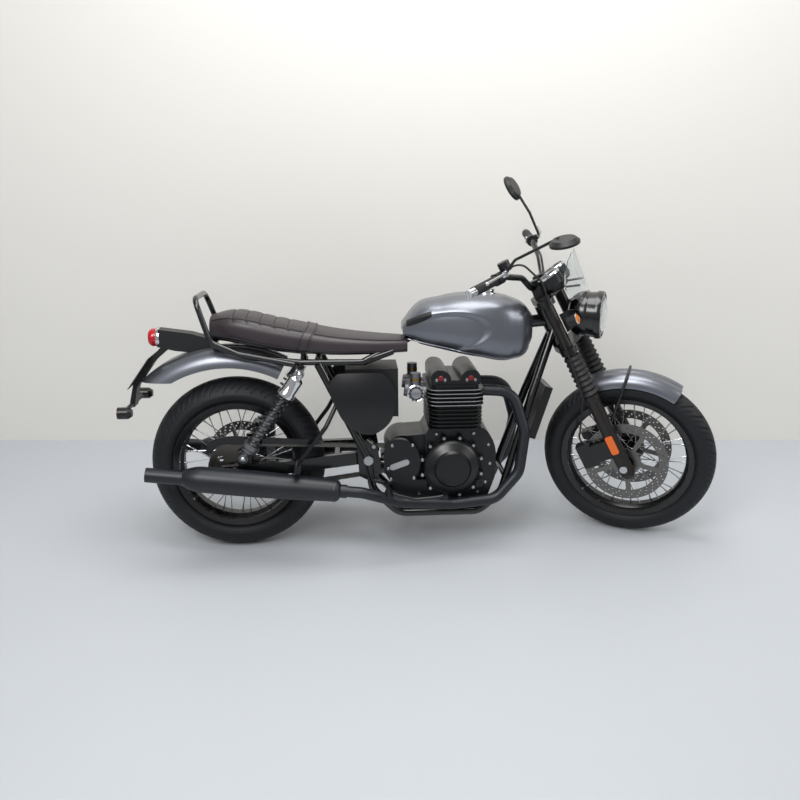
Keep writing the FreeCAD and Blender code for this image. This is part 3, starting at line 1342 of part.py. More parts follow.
# Front brake hose, from the right lever's cylinder down beside the fork to the right caliper.
hose_line = [(12, -214, 1203), (62, -190, 1196), (86, -152, 1100), (62, -141, 960), (50, -141, 800),
             (32, -141, 650), (-44, -106, 520), (-70, -76, 490), (-71, -70, 448)]
hose = tube(hose_line, size("hose_radius"), 60).cut(control_shapes + caliper_pair)
keep("front_brake_hose", solid_feature("front_brake_hose", max(hose.Solids, key=lambda s: s.Volume)), "fork")

# Rear caliper on the left arm of the swingarm, open for its disc.
disc_mid = size("rear_disc_offset + disc_thickness / 2")
caliper_inside = size("arm_spread - arm_width / 2") - 0.3
body = block((56, 128), (disc_mid - 20, caliper_inside), (384, 446))
lug = block((60, 100), (disc_mid + 8, caliper_inside + 1), (336, 392))
slot = rod((0, disc_mid - 7.5, wheel_z), (0, disc_mid + 7.5, wheel_z), size("rear_disc_radius") + 6)
rear_caliper = joined([body, lug]).cut([slot, arm_shape])
keep("rear_caliper", solid_feature("rear_caliper", max(rear_caliper.Solids, key=lambda s: s.Volume)))

# Side stand on the left, from its pivot under the engine to its foot on the ground.
stand_leg = rod(tuple(stand_top), tuple(stand_foot - stand_way * 8), size("stand_radius"))
pivot_head = rod(tuple(stand_top - stand_axis * 12), tuple(stand_top + stand_axis * 12), size("stand_head_radius"))
foot_pad = Part.makeCylinder(26, 7, V(0, 0, -3.5))
foot_pad.Placement = FreeCAD.Placement(stand_foot, FreeCAD.Rotation(X_AXIS, size("lean")))
keep("side_stand", solid_feature("side_stand", joined([stand_leg, pivot_head, foot_pad])), "bike")
print("stand pivot", stand_top, "axis", stand_axis, "fold", math.degrees(stand_way.getAngle(stowed_way)))

doc.recompute()


# Stance: the bike leans left on its stand, the steering is turned, both tyres touch the ground.
def stance():
    """Placement of the bike frame, and of the fork frame with its steering angle."""
    fork = FreeCAD.Placement(V(axis_foot, 0, 0), turn(Y_AXIS, -size("rake")))
    fork = fork.multiply(FreeCAD.Placement(V(0, 0, 0), turn(Z_AXIS, -size("steer"))))
    tilt = FreeCAD.Placement(V(0, 0, 0), turn(X_AXIS, -size("lean")))
    for _ in range(6):
        gaps = []
        for home, centre, which in ((tilt, V(0, 0, wheel_z), "rear"),
                                    (tilt.multiply(fork), V(offset, 0, axle_height), "front")):
            hub_at = home.multVec(centre)
            axle_way = home.Rotation.multVec(Y_AXIS)
            crown = size("%s_crown" % which)
            low_point = (size("%s_tyre_radius" % which) - crown) * math.sqrt(1 - axle_way.z ** 2) + crown
            gaps.append((hub_at.x, hub_at.z - low_point))
        pitch = math.degrees(math.atan2(gaps[1][1] - gaps[0][1], gaps[1][0] - gaps[0][0]))
        tilt = FreeCAD.Placement(V(0, 0, 0), turn(Y_AXIS, pitch)).multiply(tilt)
        drop = FreeCAD.Placement(V(0, 0, -gaps[0][1]), turn(Y_AXIS, 0))
        tilt = drop.multiply(tilt)
    return tilt, tilt.multiply(fork)


bike_home, fork_home = stance()
for node, thing in nodes.items():
    home = bike_home if homes[node] == "bike" else fork_home
    thing.Placement = home.multiply(thing.Placement)
doc.recompute()

# Reference point: middle of the whole part's footprint, on the ground.
box = FreeCAD.BoundBox()
for thing in nodes.values():
    box.add(thing.Shape.optimalBoundingBox(False, False))
shift = FreeCAD.Placement(V(-(box.XMin + box.XMax) / 2, -(box.YMin + box.YMax) / 2, 0), turn(X_AXIS, 0))
for thing in nodes.values():
    thing.Placement = shift.multiply(thing.Placement)
doc.recompute()

for thing in doc.Objects:
    if "Invalid" in thing.State or "Error" in thing.State:
        raise RuntimeError("failed: " + thing.Name)
for node, thing in nodes.items():
    if thing.Shape.isNull() or not thing.Shape.isValid() or not thing.Shape.Solids:
        raise RuntimeError("bad shape: " + node)
for node, thing in nodes.items():
    thing.Shape.exportStep("parts/%s.step" % node)
to_bike = shift.multiply(bike_home)
to_fork = shift.multiply(fork_home)
print("bike frame", to_bike)
print("fork frame", to_fork)
print("axle height", round(axle_height, 3), "trail", round(trail, 2), "nodes", len(nodes))
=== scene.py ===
import json
import math
import bmesh
import bpy
import numpy as np
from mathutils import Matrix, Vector


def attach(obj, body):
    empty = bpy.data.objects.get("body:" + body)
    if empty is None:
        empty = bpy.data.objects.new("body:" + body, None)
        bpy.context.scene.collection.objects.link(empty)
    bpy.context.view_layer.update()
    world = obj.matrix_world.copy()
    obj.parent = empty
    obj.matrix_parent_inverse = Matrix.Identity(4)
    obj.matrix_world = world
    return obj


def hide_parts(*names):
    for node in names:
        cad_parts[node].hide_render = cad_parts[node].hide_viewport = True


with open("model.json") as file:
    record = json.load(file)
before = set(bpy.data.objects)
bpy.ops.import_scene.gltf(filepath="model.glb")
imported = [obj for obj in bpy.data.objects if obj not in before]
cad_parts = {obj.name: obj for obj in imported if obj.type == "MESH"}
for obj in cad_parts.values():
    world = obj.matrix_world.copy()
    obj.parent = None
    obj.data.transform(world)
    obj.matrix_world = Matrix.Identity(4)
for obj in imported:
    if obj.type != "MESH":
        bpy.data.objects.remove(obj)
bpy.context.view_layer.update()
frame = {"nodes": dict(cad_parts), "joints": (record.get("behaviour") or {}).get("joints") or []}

# The motorcycle's own axes. It leans on its stand and its steering is turned, so sizes in this
# file are given upright, in mm: bike points from under the rear axle, fork points along the
# steering axis with the wheel straight. The joints of the frame say where both lie.
joints = {joint["name"]: joint for joint in frame["joints"]}
bike_y = np.array(joints["rear_wheel_spin"]["axis"])
fork_y = np.array(joints["front_wheel_spin"]["axis"])
fork_z = np.array(joints["steering"]["axis"])
fork_x = np.cross(fork_y, fork_z)
rake = math.radians(27)
level = np.cross(bike_y, fork_z)
bike_x = math.cos(rake) * level - math.sin(rake) * fork_z
bike_z = math.sin(rake) * level + math.cos(rake) * fork_z
bike_axes = np.array([bike_x, bike_y, bike_z])
fork_axes = np.array([fork_x, fork_y, fork_z])
rear_axle = np.array([0, 0, 320])
front_axle = np.array([48, 0, 332.443])
bike_zero = np.array(joints["rear_wheel_spin"]["pos_m"]) - rear_axle / 1000 @ bike_axes
fork_zero = np.array(joints["front_wheel_spin"]["pos_m"]) - front_axle / 1000 @ fork_axes


def on_bike(points):
    """Points in metres from bike points in mm: the zero point plus each size along its own axis."""
    return bike_zero + np.asarray(points, float) / 1000 @ bike_axes


def on_fork(points):
    """The same for fork points, which turn with the steering."""
    return fork_zero + np.asarray(points, float) / 1000 @ fork_axes


# Studio: a pale painted floor and a wall square to the camera, far wider than the view, three
# large soft lamps and an even pale sky. The wall is clear from its back, so that the motorcycle
# shows from every side, and the floor runs on behind it.
def linear(code):
    """sRGB hex to linear: c / 12.92 below 0.04045, else ((c + 0.055) / 1.055) to the power 2.4."""
    c = np.array([int(code[i:i + 2], 16) for i in (1, 3, 5)]) / 255
    return (*np.where(c <= 0.04045, c / 12.92, ((c + 0.055) / 1.055) ** 2.4), 1.0)


def add(tree, kind, sockets=(), **settings):
    """Add one node: settings are its own properties, sockets are (input, value or output) pairs."""
    node = tree.nodes.new(kind)
    for word, value in settings.items():
        setattr(node, word, value)
    for where, value in dict(sockets).items():
        if isinstance(value, bpy.types.NodeSocket):
            tree.links.new(value, node.inputs[where])
        else:
            node.inputs[where].default_value = value
    return node


def start(name):
    """An empty material of that name, as (material, node tree, output node)."""
    material = bpy.data.materials.new(name)
    material.use_nodes = True
    material.node_tree.nodes.clear()
    return material, material.node_tree, material.node_tree.nodes.new("ShaderNodeOutputMaterial")


def finish(name, sockets, mottle=None, grit=None, cells=None, wear=None):
    """A material with these shader sockets. Noise of a scale and detail mixes two colours (mottle),
    lifts the surface by a distance and strength (grit) or moves the roughness between two values
    (wear), and cells lift it by the distance to the nearest of scattered points."""
    material, tree, end = start(name)
    sockets = dict(sockets)
    if mottle or grit or cells or wear:
        place = add(tree, "ShaderNodeTexCoord").outputs["Object"]
    if mottle:
        scale, detail, one, other = mottle
        noise = add(tree, "ShaderNodeTexNoise", {"Scale": scale, "Detail": detail, "Vector": place})
        shade = add(tree, "ShaderNodeMix", {"Factor": noise.outputs["Fac"], "A": linear(one),
                    "B": linear(other)}, data_type="RGBA")
        sockets["Base Color"] = shade.outputs["Result"]
    if grit:
        scale, detail, far, strength = grit
        noise = add(tree, "ShaderNodeTexNoise", {"Scale": scale, "Detail": detail, "Vector": place})
        lift = add(tree, "ShaderNodeBump", {"Height": noise.outputs["Fac"], "Distance": far,
                   "Strength": strength})
        sockets["Normal"] = lift.outputs["Normal"]
    if cells:
        scale, far, strength = cells
        points = add(tree, "ShaderNodeTexVoronoi", {"Scale": scale, "Vector": place})
        lift = add(tree, "ShaderNodeBump", {"Height": points.outputs["Distance"], "Distance": far,
                   "Strength": strength})
        sockets["Normal"] = lift.outputs["Normal"]
    if wear:
        scale, detail, low, high = wear
        noise = add(tree, "ShaderNodeTexNoise", {"Scale": scale, "Detail": detail, "Vector": place})
        rough = add(tree, "ShaderNodeMapRange", {"Value": noise.outputs["Fac"], "To Min": low,
                    "To Max": high})
        sockets["Roughness"] = rough.outputs["Result"]
    coat = add(tree, "ShaderNodeBsdfPrincipled", sockets)
    tree.links.new(coat.outputs[0], end.inputs[0])
    return material


def surface(name, points, faces, material, body, smooth=38):
    """A mesh piece from points in metres and faces, its seams merged and its faces turned outward. It
    is shaded smooth across edges below so many degrees."""
    mesh = bpy.data.meshes.new(name)
    mesh.from_pydata(np.asarray(points, float).reshape(-1, 3).tolist(), [], [list(f) for f in faces])
    form = bmesh.new()
    form.from_mesh(mesh)
    bmesh.ops.remove_doubles(form, verts=form.verts, dist=4e-6)
    bmesh.ops.dissolve_degenerate(form, edges=form.edges, dist=1e-6)
    bmesh.ops.recalc_face_normals(form, faces=form.faces)
    form.to_mesh(mesh)
    form.free()
    mesh.polygons.foreach_set("use_smooth", [True] * len(mesh.polygons))
    mesh.set_sharp_from_angle(angle=math.radians(smooth))
    mesh.materials.append(material)
    piece = bpy.data.objects.new(name, mesh)
    bpy.context.scene.collection.objects.link(piece)
    if body:
        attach(piece, body)
    return piece


bearing, height, distance, focal_px = math.radians(3), math.radians(22), 3.4, 893
target = Vector((-0.080, 0, 0.504))
ahead = np.array([math.sin(bearing), math.cos(bearing)])
beside = np.array([math.cos(bearing), -math.sin(bearing)])
wall_away, wall_half, wall_height, near_reach = 0.736, 14, 7, 16
foot_line = np.array([target.x, target.y]) + wall_away * ahead
near_line = foot_line - near_reach * ahead
wall_ends = [foot_line - wall_half * beside, foot_line + wall_half * beside]
corners = [wall_ends[0] + wall_half * ahead, wall_ends[1] + wall_half * ahead,
           near_line + wall_half * beside, near_line - wall_half * beside]
matt_floor = finish("painted_floor", {"Roughness": 0.42, "Specular IOR Level": 0.3},
                    mottle=(0.7, 2.0, "#b3b7bc", "#b9bdc2"))
chalk_wall, tree, end = start("painted_wall")
place = add(tree, "ShaderNodeTexCoord").outputs["Object"]
spread = add(tree, "ShaderNodeTexNoise", {"Scale": 0.5, "Detail": 2.0, "Vector": place})
tint = add(tree, "ShaderNodeMix", {"Factor": spread.outputs["Fac"], "A": linear("#d9d7d1"),
           "B": linear("#dedcd7")}, data_type="RGBA")
coat = add(tree, "ShaderNodeBsdfPrincipled", {"Base Color": tint.outputs["Result"], "Roughness": 0.85})
one_sided = add(tree, "ShaderNodeMixShader", {0: add(tree, "ShaderNodeNewGeometry").outputs["Backfacing"],
                1: coat.outputs[0], 2: add(tree, "ShaderNodeBsdfTransparent").outputs[0]})
tree.links.new(one_sided.outputs[0], end.inputs[0])
floor = surface("floor", [(*c, 0) for c in corners], [(3, 2, 1, 0)], matt_floor, None)
wall = surface("wall", [(*wall_ends[0], 0), (*wall_ends[1], 0), (*wall_ends[1], wall_height),
                        (*wall_ends[0], wall_height)], [(0, 1, 2, 3)], chalk_wall, None)
if np.dot(wall.data.polygons[0].normal[:2], ahead) > 0:
    wall.data.flip_normals()

world = bpy.data.worlds.new("pale_sky")
bpy.context.scene.world = world
world.use_nodes = True
world.node_tree.nodes["Background"].inputs["Color"].default_value = linear("#f1f2f4")
world.node_tree.nodes["Background"].inputs["Strength"].default_value = 0.44
for name, stand, aim, width, power in (
        ("key_lamp", (-1.4, -3.0, 3.8), (0, 0.2, 0.5), 2.0, 128),
        ("front_lamp", (3.6, -1.4, 2.6), (0.3, 0, 0.5), 1.6, 40),
        ("top_lamp", (0.2, -0.3, 3.4), (0.0, 0.0, 0.4), 1.8, 60)):
    lamp = bpy.data.lights.new(name, "AREA")
    lamp.size = width
    lamp.energy = power
    holder = bpy.data.objects.new(name, lamp)
    bpy.context.scene.collection.objects.link(holder)
    holder.location = stand
    holder.rotation_euler = (Vector(aim) - Vector(stand)).to_track_quat("-Z", "Y").to_euler()

# Camera: on the motorcycle's right, 3 degrees behind square, 22 degrees up and 3.4 m away. Pixels
# 1.08 times as tall as wide bring the heights nearer to the photograph's.
back = Vector((-math.sin(bearing) * math.cos(height), -math.cos(bearing) * math.cos(height),
               math.sin(height)))
camera_data = bpy.data.cameras.new("camera")
camera_data.sensor_width = 36
camera_data.lens = 36 * focal_px / 800
camera = bpy.data.objects.new("camera", camera_data)
bpy.context.scene.collection.objects.link(camera)
camera.location = target + back * distance
camera.rotation_euler = (-back).to_track_quat("-Z", "Y").to_euler()
bpy.context.scene.camera = camera
bpy.context.scene.view_settings.view_transform = "Standard"
bpy.context.scene.render.pixel_aspect_y = 1.08


# Frame: welded steel tube, sprayed gloss black and baked. The paint is deep, with a faint
# orange-peel in its reflections. Swingarm, stand, grab rail, handlebar and chain guard match it.
def dress(material, *nodes):
    """Give CAD nodes that stay in view their material."""
    for node in nodes:
        mesh = frame["nodes"][node].data
        mesh.materials.clear()
        mesh.materials.append(material)


gloss_black = finish("stoved_gloss_black",
                     {"Base Color": linear("#040506"), "Coat Weight": 0.4, "Coat Roughness": 0.08},
                     grit=(260.0, 1.0, 0.0004, 0.12), wear=(9.0, 4.0, 0.16, 0.3))
dress(gloss_black, "main_frame", "swingarm", "side_stand", "grab_rail", "handlebar", "chain_guard")


# Tyres: black tread rubber on a round crown, with curved grooves that start near the middle and
# run out to each shoulder, short ones between them, and moulded rings on the side walls.
def arc_through(a, b, c, count):
    """Points on the circle through three (r, h) points: the centre is where two upright bisectors
    meet, and the angle goes evenly from a past b to c."""
    a, b, c = (np.asarray(p, float) for p in (a, b, c))
    m = np.array([b - a, c - b])
    centre = np.linalg.solve(m, np.array([(b @ b - a @ a) / 2, (c @ c - b @ b) / 2]))
    ta, tb, tc = (math.atan2(*(p - centre)[::-1]) for p in (a, b, c))
    turns = [(tb - ta) % (2 * math.pi), (tc - ta) % (2 * math.pi)]
    span = turns[1] if turns[0] < turns[1] else turns[1] - 2 * math.pi
    t = ta + np.linspace(0, span, count)
    return centre + np.hypot(*(a - centre)) * np.stack([np.cos(t), np.sin(t)], -1)


def lattice(rows, cols, around=True, along=False):
    """Quads of a grid of points, joined across the last column (around) or the last row (along)."""
    r = np.arange(rows if along else rows - 1)[:, None]
    c = np.arange(cols if around else cols - 1)[None, :]
    nr, nc = (r + 1) % rows, (c + 1) % cols
    return np.stack([r * cols + c, r * cols + nc, nr * cols + nc, nr * cols + c], -1).reshape(-1, 4)


def tyre_skin(edge, half, rim, bead, crown, grooves, count):
    """Tyre section carried round the axle: x = r cos t, z = r sin t, y = h. On the crown r is less by
    the groove depth, 4 mm times exp(-(d / 2.2)^4), with d the distance in mm from a groove's curved
    line. Shoulder grooves, 3.4 mm deep, lie halfway between."""
    drop = crown - math.sqrt(crown ** 2 - (half - 6) ** 2)
    wall = arc_through((rim + 4, -bead), (edge - drop - 16, -half), (edge - drop, 6 - half), 12)
    top = arc_through((edge - drop, 6 - half), (edge, 0), (edge - drop, half - 6), 40)
    outer = np.concatenate([[(rim - 13, -bead)], wall[:-1], top, (wall * [1, -1])[::-1][1:],
                            [(rim - 13, bead)]])
    inner = np.array([(rim - 13, bead - 11), (rim + 6, bead - 8), (edge - drop - 14, half - 9),
                      (edge - 13, 12), (edge - 13, -12), (edge - drop - 14, 9 - half),
                      (rim + 6, 8 - bead), (rim - 13, 11 - bead)])
    section = np.concatenate([outer, inner])
    r, h = section[None, :, 0], section[None, :, 1]
    t = np.linspace(0, 2 * math.pi, count, endpoint=False)[:, None]
    outside = (np.arange(len(section)) > 11) & (np.arange(len(section)) < 53)
    reach = np.abs(h) / half
    step = 2 * math.pi / grooves
    off = np.where(h > 0, 0.5 * step, 0)
    line = 0.16 * reach ** 1.6
    away = np.abs((t - off - line + step / 2) % step - step / 2) * edge
    cut = 4 * np.exp(-(away / 2.2) ** 4) * (reach > 0.16) * (reach < 0.86)
    between = np.abs((t - off - line) % step - step / 2) * edge
    cut = np.maximum(cut, 3.4 * np.exp(-(between / 2.0) ** 4) * (reach > 0.55) * (reach < 0.93))
    side = ~outside & (np.arange(len(section)) < len(outer))
    bands = sum(np.exp(-((r - at) / 1.4) ** 2) for at in (rim + 11, rim + 20, edge - drop - 22))
    h = h - np.sign(h) * 0.9 * bands * side
    r = r - cut * outside
    return r * np.cos(t), h + 0 * t, r * np.sin(t), len(section)


rubber = finish("moulded_tyre_rubber", {"Roughness": 0.58, "Specular IOR Level": 0.4},
                mottle=(18.0, 5.0, "#090a0d", "#12141a"), grit=(900.0, 2.0, 0.0003, 0.3))
turn_steps = 1080
x, y, z, cols = tyre_skin(320, 75, 232, 56, 78, 34, turn_steps)
rear_skin = surface("rear_tread", on_bike(np.stack([x, y, z], -1) + rear_axle),
                    lattice(turn_steps, cols, True, True), rubber, "rear_wheel")
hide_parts("rear_tyre")
x, y, z, cols = tyre_skin(318, 51, 243, 38, 54, 38, turn_steps)
front_skin = surface("front_tread", on_fork(np.stack([x, y, z], -1) + front_axle),
                     lattice(turn_steps, cols, True, True), rubber, "front_wheel")
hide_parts("front_tyre")


# Wire wheels: the rims and hubs are anodised black, the spokes are stainless wire in plated
# nipples, laced from the hub flanges to the rim's dropped middle.
def joined(parts):
    """Several (points, faces) pairs as one: each pair's face numbers move up by the points before."""
    points, faces, before = [], [], 0
    for some, linked in parts:
        some = np.asarray(some, float).reshape(-1, 3)
        points.append(some)
        faces += [[v + before for v in f] for f in linked]
        before += len(some)
    return np.concatenate(points), faces


def fitted(name, parts, material, body, smooth=38):
    """A piece of (points, faces) pairs in mm, in the fork's axes if it steers and else the bike's."""
    points, faces = joined(parts)
    placed = on_fork(points) if body in ("steering", "front_wheel") else on_bike(points)
    return surface(name, placed, faces, material, body, smooth)


def spoke_set(rim_inside, seat_half, count=36, flange=39, flange_half=30, sides=6):
    """Thin rods as rings of points at four places along each spoke: radius 1.9 mm, and 3.2 mm at the
    nipple."""
    i = np.arange(count)
    side = np.where(i % 2, 1.0, -1.0)
    lean = np.where(i // 2 % 2, 1.0, -1.0)
    rim_angle = 2 * np.pi * i / count
    hub_angle = rim_angle + lean * np.radians(52)
    a = np.stack([flange * np.cos(hub_angle), side * flange_half, -flange * np.sin(hub_angle)], -1)
    b = np.stack([rim_inside * np.cos(rim_angle), side * seat_half, -rim_inside * np.sin(rim_angle)], -1)
    way = (b - a) / np.linalg.norm(b - a, axis=1, keepdims=True)
    long = np.linalg.norm(b - a, axis=1)[:, None]
    u = np.cross(way, [0, 1.0, 0])
    u /= np.linalg.norm(u, axis=1, keepdims=True)
    v = np.cross(u, way)
    run = np.concatenate([0 * long, long - 16, long - 15.5, long], 1)
    rad = np.array([1.9, 1.9, 3.2, 3.0])
    t = np.linspace(0, 2 * np.pi, sides, endpoint=False)
    ring = rad[None, :, None, None] * (np.cos(t)[None, None, :, None] * v[:, None, None] +
                                       np.sin(t)[None, None, :, None] * u[:, None, None])
    points = a[:, None, None] + run[:, :, None, None] * way[:, None, None] + ring
    faces = lattice(4, sides) + (i * 4 * sides)[:, None, None]
    return points.reshape(-1, 3), faces.reshape(-1, 4)


stainless = finish("drawn_stainless_wire", {"Base Color": linear("#c9cbcf"), "Metallic": 1.0},
                   wear=(300.0, 3.0, 0.18, 0.34))
for name, rim_inside, seat_half, axle, body in (("rear_spokes", 203, 15.5, rear_axle, "rear_wheel"),
                                                ("front_spokes", 214, 11, front_axle, "front_wheel")):
    points, faces = spoke_set(rim_inside, seat_half)
    fitted(name, [(points + axle, faces)], stainless, body)
black_anodised = finish("black_anodised_rim", {"Base Color": linear("#050608"), "Specular IOR Level": 0.6},
                        wear=(12.0, 4.0, 0.2, 0.34))
dress(black_anodised, "front_wheel", "rear_wheel")


# Brake discs: stainless plate 5 mm thick, finely ground, with three rows of drilled holes in the
# band and five slender arms to the hub. Each is cut from one flat outline.
def flat_plate(loops, thick):
    """Flat outlines with their openings filled, in mm, and given a thickness across local Z."""
    flat = bpy.data.curves.new("outline", "CURVE")
    flat.dimensions = "2D"
    flat.fill_mode = "BOTH"
    flat.extrude = thick / 2
    for loop in loops:
        spline = flat.splines.new("POLY")
        spline.points.add(len(loop) - 1)
        spline.points.foreach_set("co", np.column_stack([loop, 0 * loop[:, 0], 1 + 0 * loop[:, 0]]).ravel())
        spline.use_cyclic_u = True
    holder = bpy.data.objects.new("outline", flat)
    mesh = bpy.data.meshes.new_from_object(holder)
    points = np.zeros(len(mesh.vertices) * 3)
    mesh.vertices.foreach_get("co", points)
    faces = [list(p.vertices) for p in mesh.polygons]
    bpy.data.objects.remove(holder)
    bpy.data.curves.remove(flat)
    bpy.data.meshes.remove(mesh)
    return points.reshape(-1, 3), faces


def ring_of(x, y, radius, count):
    """A circle: x + r cos t, y + r sin t."""
    t = np.linspace(0, 2 * np.pi, count, endpoint=False)
    return np.stack([x + radius * np.cos(t), y + radius * np.sin(t)], -1)


def disc_loops(radius):
    """Outer and inner circles, five windows between two arcs, and three staggered rows of holes."""
    loops = [ring_of(0, 0, radius, 120), ring_of(0, 0, 27.3, 40)]
    for k in range(5):
        turn = 2 * np.pi * k / 5
        far = turn + np.radians(np.linspace(-31.6, 31.6, 16))
        near = turn + np.radians(np.linspace(27, -27, 9))
        loops.append(np.concatenate([np.stack([np.cos(far), np.sin(far)], -1) * (radius - 34),
                                     np.stack([np.cos(near), np.sin(near)], -1) * 55]))
    for row, gap in enumerate((7, 16.5, 26)):
        for k in range(30):
            turn = 2 * np.pi * (k + row / 3) / 30
            loops.append(ring_of((radius - gap) * np.cos(turn), (radius - gap) * np.sin(turn), 3.2, 8))
    return loops


ground_disc = finish("ground_stainless_disc", {"Base Color": linear("#706e6c"), "Metallic": 1.0},
                     wear=(520.0, 3.0, 0.26, 0.46))
disc_thick = 5
points, faces = flat_plate(disc_loops(155), disc_thick)
front_plates = fitted("front_disc_plates", [(points[:, [0, 2, 1]] + front_axle + [0, side * 64.5, 0], faces)
                                            for side in (-1, 1)], ground_disc, "front_wheel", 20)
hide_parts("front_discs")
points, faces = flat_plate(disc_loops(127.5), disc_thick)
rear_plate = fitted("rear_disc_plate", [(points[:, [0, 2, 1]] + rear_axle + [0, 99.5, 0], faces)],
                    ground_disc, "rear_wheel", 20)
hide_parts("rear_disc")

# Engine: cast aluminium with a satin black powder coat, slightly grained from the casting sand.
# Yokes, brackets, calipers, radiator, side panels and footrests have the same finish.
satin_black = finish("powder_coated_casting", {"Base Color": linear("#07080b")},
                     grit=(900.0, 3.0, 0.0004, 0.25), wear=(14.0, 4.0, 0.26, 0.4))
dress(satin_black, "crankcase", "engine_covers", "cylinder_block", "cylinder_head", "cam_cover", "yokes",
      "fork_brackets", "front_calipers", "rear_caliper", "radiator", "side_panels", "footrests")


# Machined edges: the fins of the head are milled bright round their rims after coating.
def rim_band(middle_x, half_x, half_y, corner, low, high):
    """A thin ring round a rounded rectangle: corners are quarter circles, the ring is 2 mm deep."""
    t = np.linspace(0, 2 * np.pi, 72, endpoint=False)
    mid = np.stack([middle_x + np.sign(np.cos(t)) * (half_x - corner),
                    np.sign(np.sin(t)) * (half_y - corner)], -1)
    way = np.stack([np.cos(t), np.sin(t)], -1)
    rows = [np.column_stack([mid + way * (corner + out), np.full(72, z)])
            for out, z in ((0.5, low), (0.5, high), (-1.5, high), (-1.5, low))]
    return np.stack(rows), lattice(4, 72, True, True).tolist()


bright_cut = finish("milled_aluminium", {"Base Color": linear("#c2c4c6"), "Metallic": 1.0},
                    wear=(700.0, 3.0, 0.24, 0.4))
fin_heights = (550, 564, 578, 592, 606)
fitted("fin_edges", [rim_band(795, 101, 164, 42, z + 0.6, z + 3.4) for z in fin_heights],
       bright_cut, "frame")


# Fasteners: zinc-plated hexagon and socket-head screws round the covers, the cam covers, the
# frame joints and the footrests, each turned from one short profile.
def spun(profile, count=24):
    """Profile of (r, h) points turned about local Z: x = r cos t, y = r sin t, z = h."""
    profile = np.asarray(profile, float)
    t = np.linspace(0, 2 * np.pi, count, endpoint=False)
    r, h = profile[:, :1], profile[:, 1:]
    return np.stack([r * np.cos(t), r * np.sin(t), h + 0 * t], -1), lattice(len(profile), count).tolist()


def stood(part, spot, way, lead=(1, 0, 0.01)):
    """A (points, faces) pair moved to spot, its Z turned along way and its X as near lead as can be."""
    points, faces = part
    z = np.asarray(way, float) / np.linalg.norm(way)
    x = np.asarray(lead, float) - np.dot(lead, z) * z
    x /= np.linalg.norm(x)
    turned = np.asarray(points, float).reshape(-1, 3) @ np.array([x, np.cross(z, x), z])
    return turned + np.asarray(spot, float), faces


screw = [(0, -2), (6, -2), (6, 4), (5, 5.4), (3, 5.4), (3, 2.5), (0, 2.5)]
hexagon = [(0, -2), (8, -2), (8, 1), (6.6, 1), (6.6, 6), (5.8, 7), (0, 7)]
acorn = [(0, -2), (13, -2), (13, 2), (10, 8), (5, 11), (0, 12)]
clutch_x, clutch_z = 782, 318
clutch_bolts = ring_of(0, 0, 111, 24)[1::2] + [clutch_x, clutch_z]
alternator_bolts = ring_of(0, 0, 84, 18)[1::2] + [830, 326]
heads = [stood(spun(screw, 12), (x, -137, z), (0, -1, 0)) for x, z in clutch_bolts]
heads += [stood(spun(screw, 12), (x, 146.2, z), (0, 1, 0)) for x, z in alternator_bolts]
for x, z in ((550, 316), (566, 402), (640, 402), (644, 278), (560, 276)):
    heads.append(stood(spun(screw, 12), (x, -135.2, z), (0, -1, 0)))
for x, z in ((584, 280), (700, 276), (716, 350), (640, 372)):
    heads.append(stood(spun(screw, 12), (x, 137.4, z), (0, 1, 0)))
for side in (-1, 1):
    for x, z in ((908, 250), (924, 320), (918, 392), (880, 214), (664, 212), (728, 436), (864, 436)):
        heads.append(stood(spun(screw, 12), (x, side * 111.6, z), (0, side, 0)))
    for x in (726, 756, 834, 864):
        heads.append(stood(spun(screw, 12), (x, side * 139.6, 640), (0, side, 0)))
    for x, z in ((480, 350), (500, 398)):
        heads.append(stood(spun(hexagon, 6), (x, side * 130, z), (0, side, 0)))
    for x, z in ((245, 676), (36, 375)):
        heads.append(stood(spun(acorn, 24), (x, side * 174, z), (0, side, 0)))
plated = finish("bright_zinc_plate", {"Base Color": linear("#b9bbbe"), "Metallic": 1.0},
                wear=(60.0, 3.0, 0.16, 0.34))
fitted("fasteners", heads, plated, "frame", 30)

# Engine trim: cast bosses under the clutch cover's screws, red plug caps on the cam covers, an oil
# filler cap, a pale insert pressed into the sprocket cover and a turned ring on the clutch cover.
red_plug = finish("dark_red_plug", {"Base Color": linear("#6d1418"), "Roughness": 0.35})
boss = [(0, 110), (10.5, 110), (9.5, 135), (8.5, 137), (0, 137), (0, 110)]
fitted("cover_bosses", [stood(spun(boss, 20), (x, 0, z), (0, -1, 0)) for x, z in clutch_bolts],
       satin_black, "frame")
plug = [(0, -2), (10, -2), (10, 2), (8, 4), (0, 4.5)]
fitted("cam_plugs", [stood(spun(plug), (x, side * 140, 646), (0, side, 0))
                     for x in (741, 849) for side in (-1, 1)], red_plug, "frame")
filler = spun([(0, -2), (24, -2), (24, 3), (19, 5), (19, 13), (16, 15), (0, 15)], 48)
fitted("oil_filler", [stood(filler, (884, -112, 244), (0, -1, 0))], satin_black, "frame")
pill = np.concatenate([ring_of(26, 0, 11, 24)[18:], ring_of(26, 0, 11, 24)[:7],
                       ring_of(-26, 0, 11, 24)[6:19]])
fitted("cover_insert", [stood(flat_plate([pill], 3), (592, -136.8, 330), (0, -1, 0), (1, 0, 0.35))],
       bright_cut, "frame")
ring = [(64, 60.5), (60, 66), (57, 66.7), (54, 66.7), (54, 65), (60, 58), (64, 60.5)]
fitted("clutch_ring", [stood(spun(ring, 64), (clutch_x, -112.2, clutch_z), (0, -1, 0))],
       satin_black, "frame")

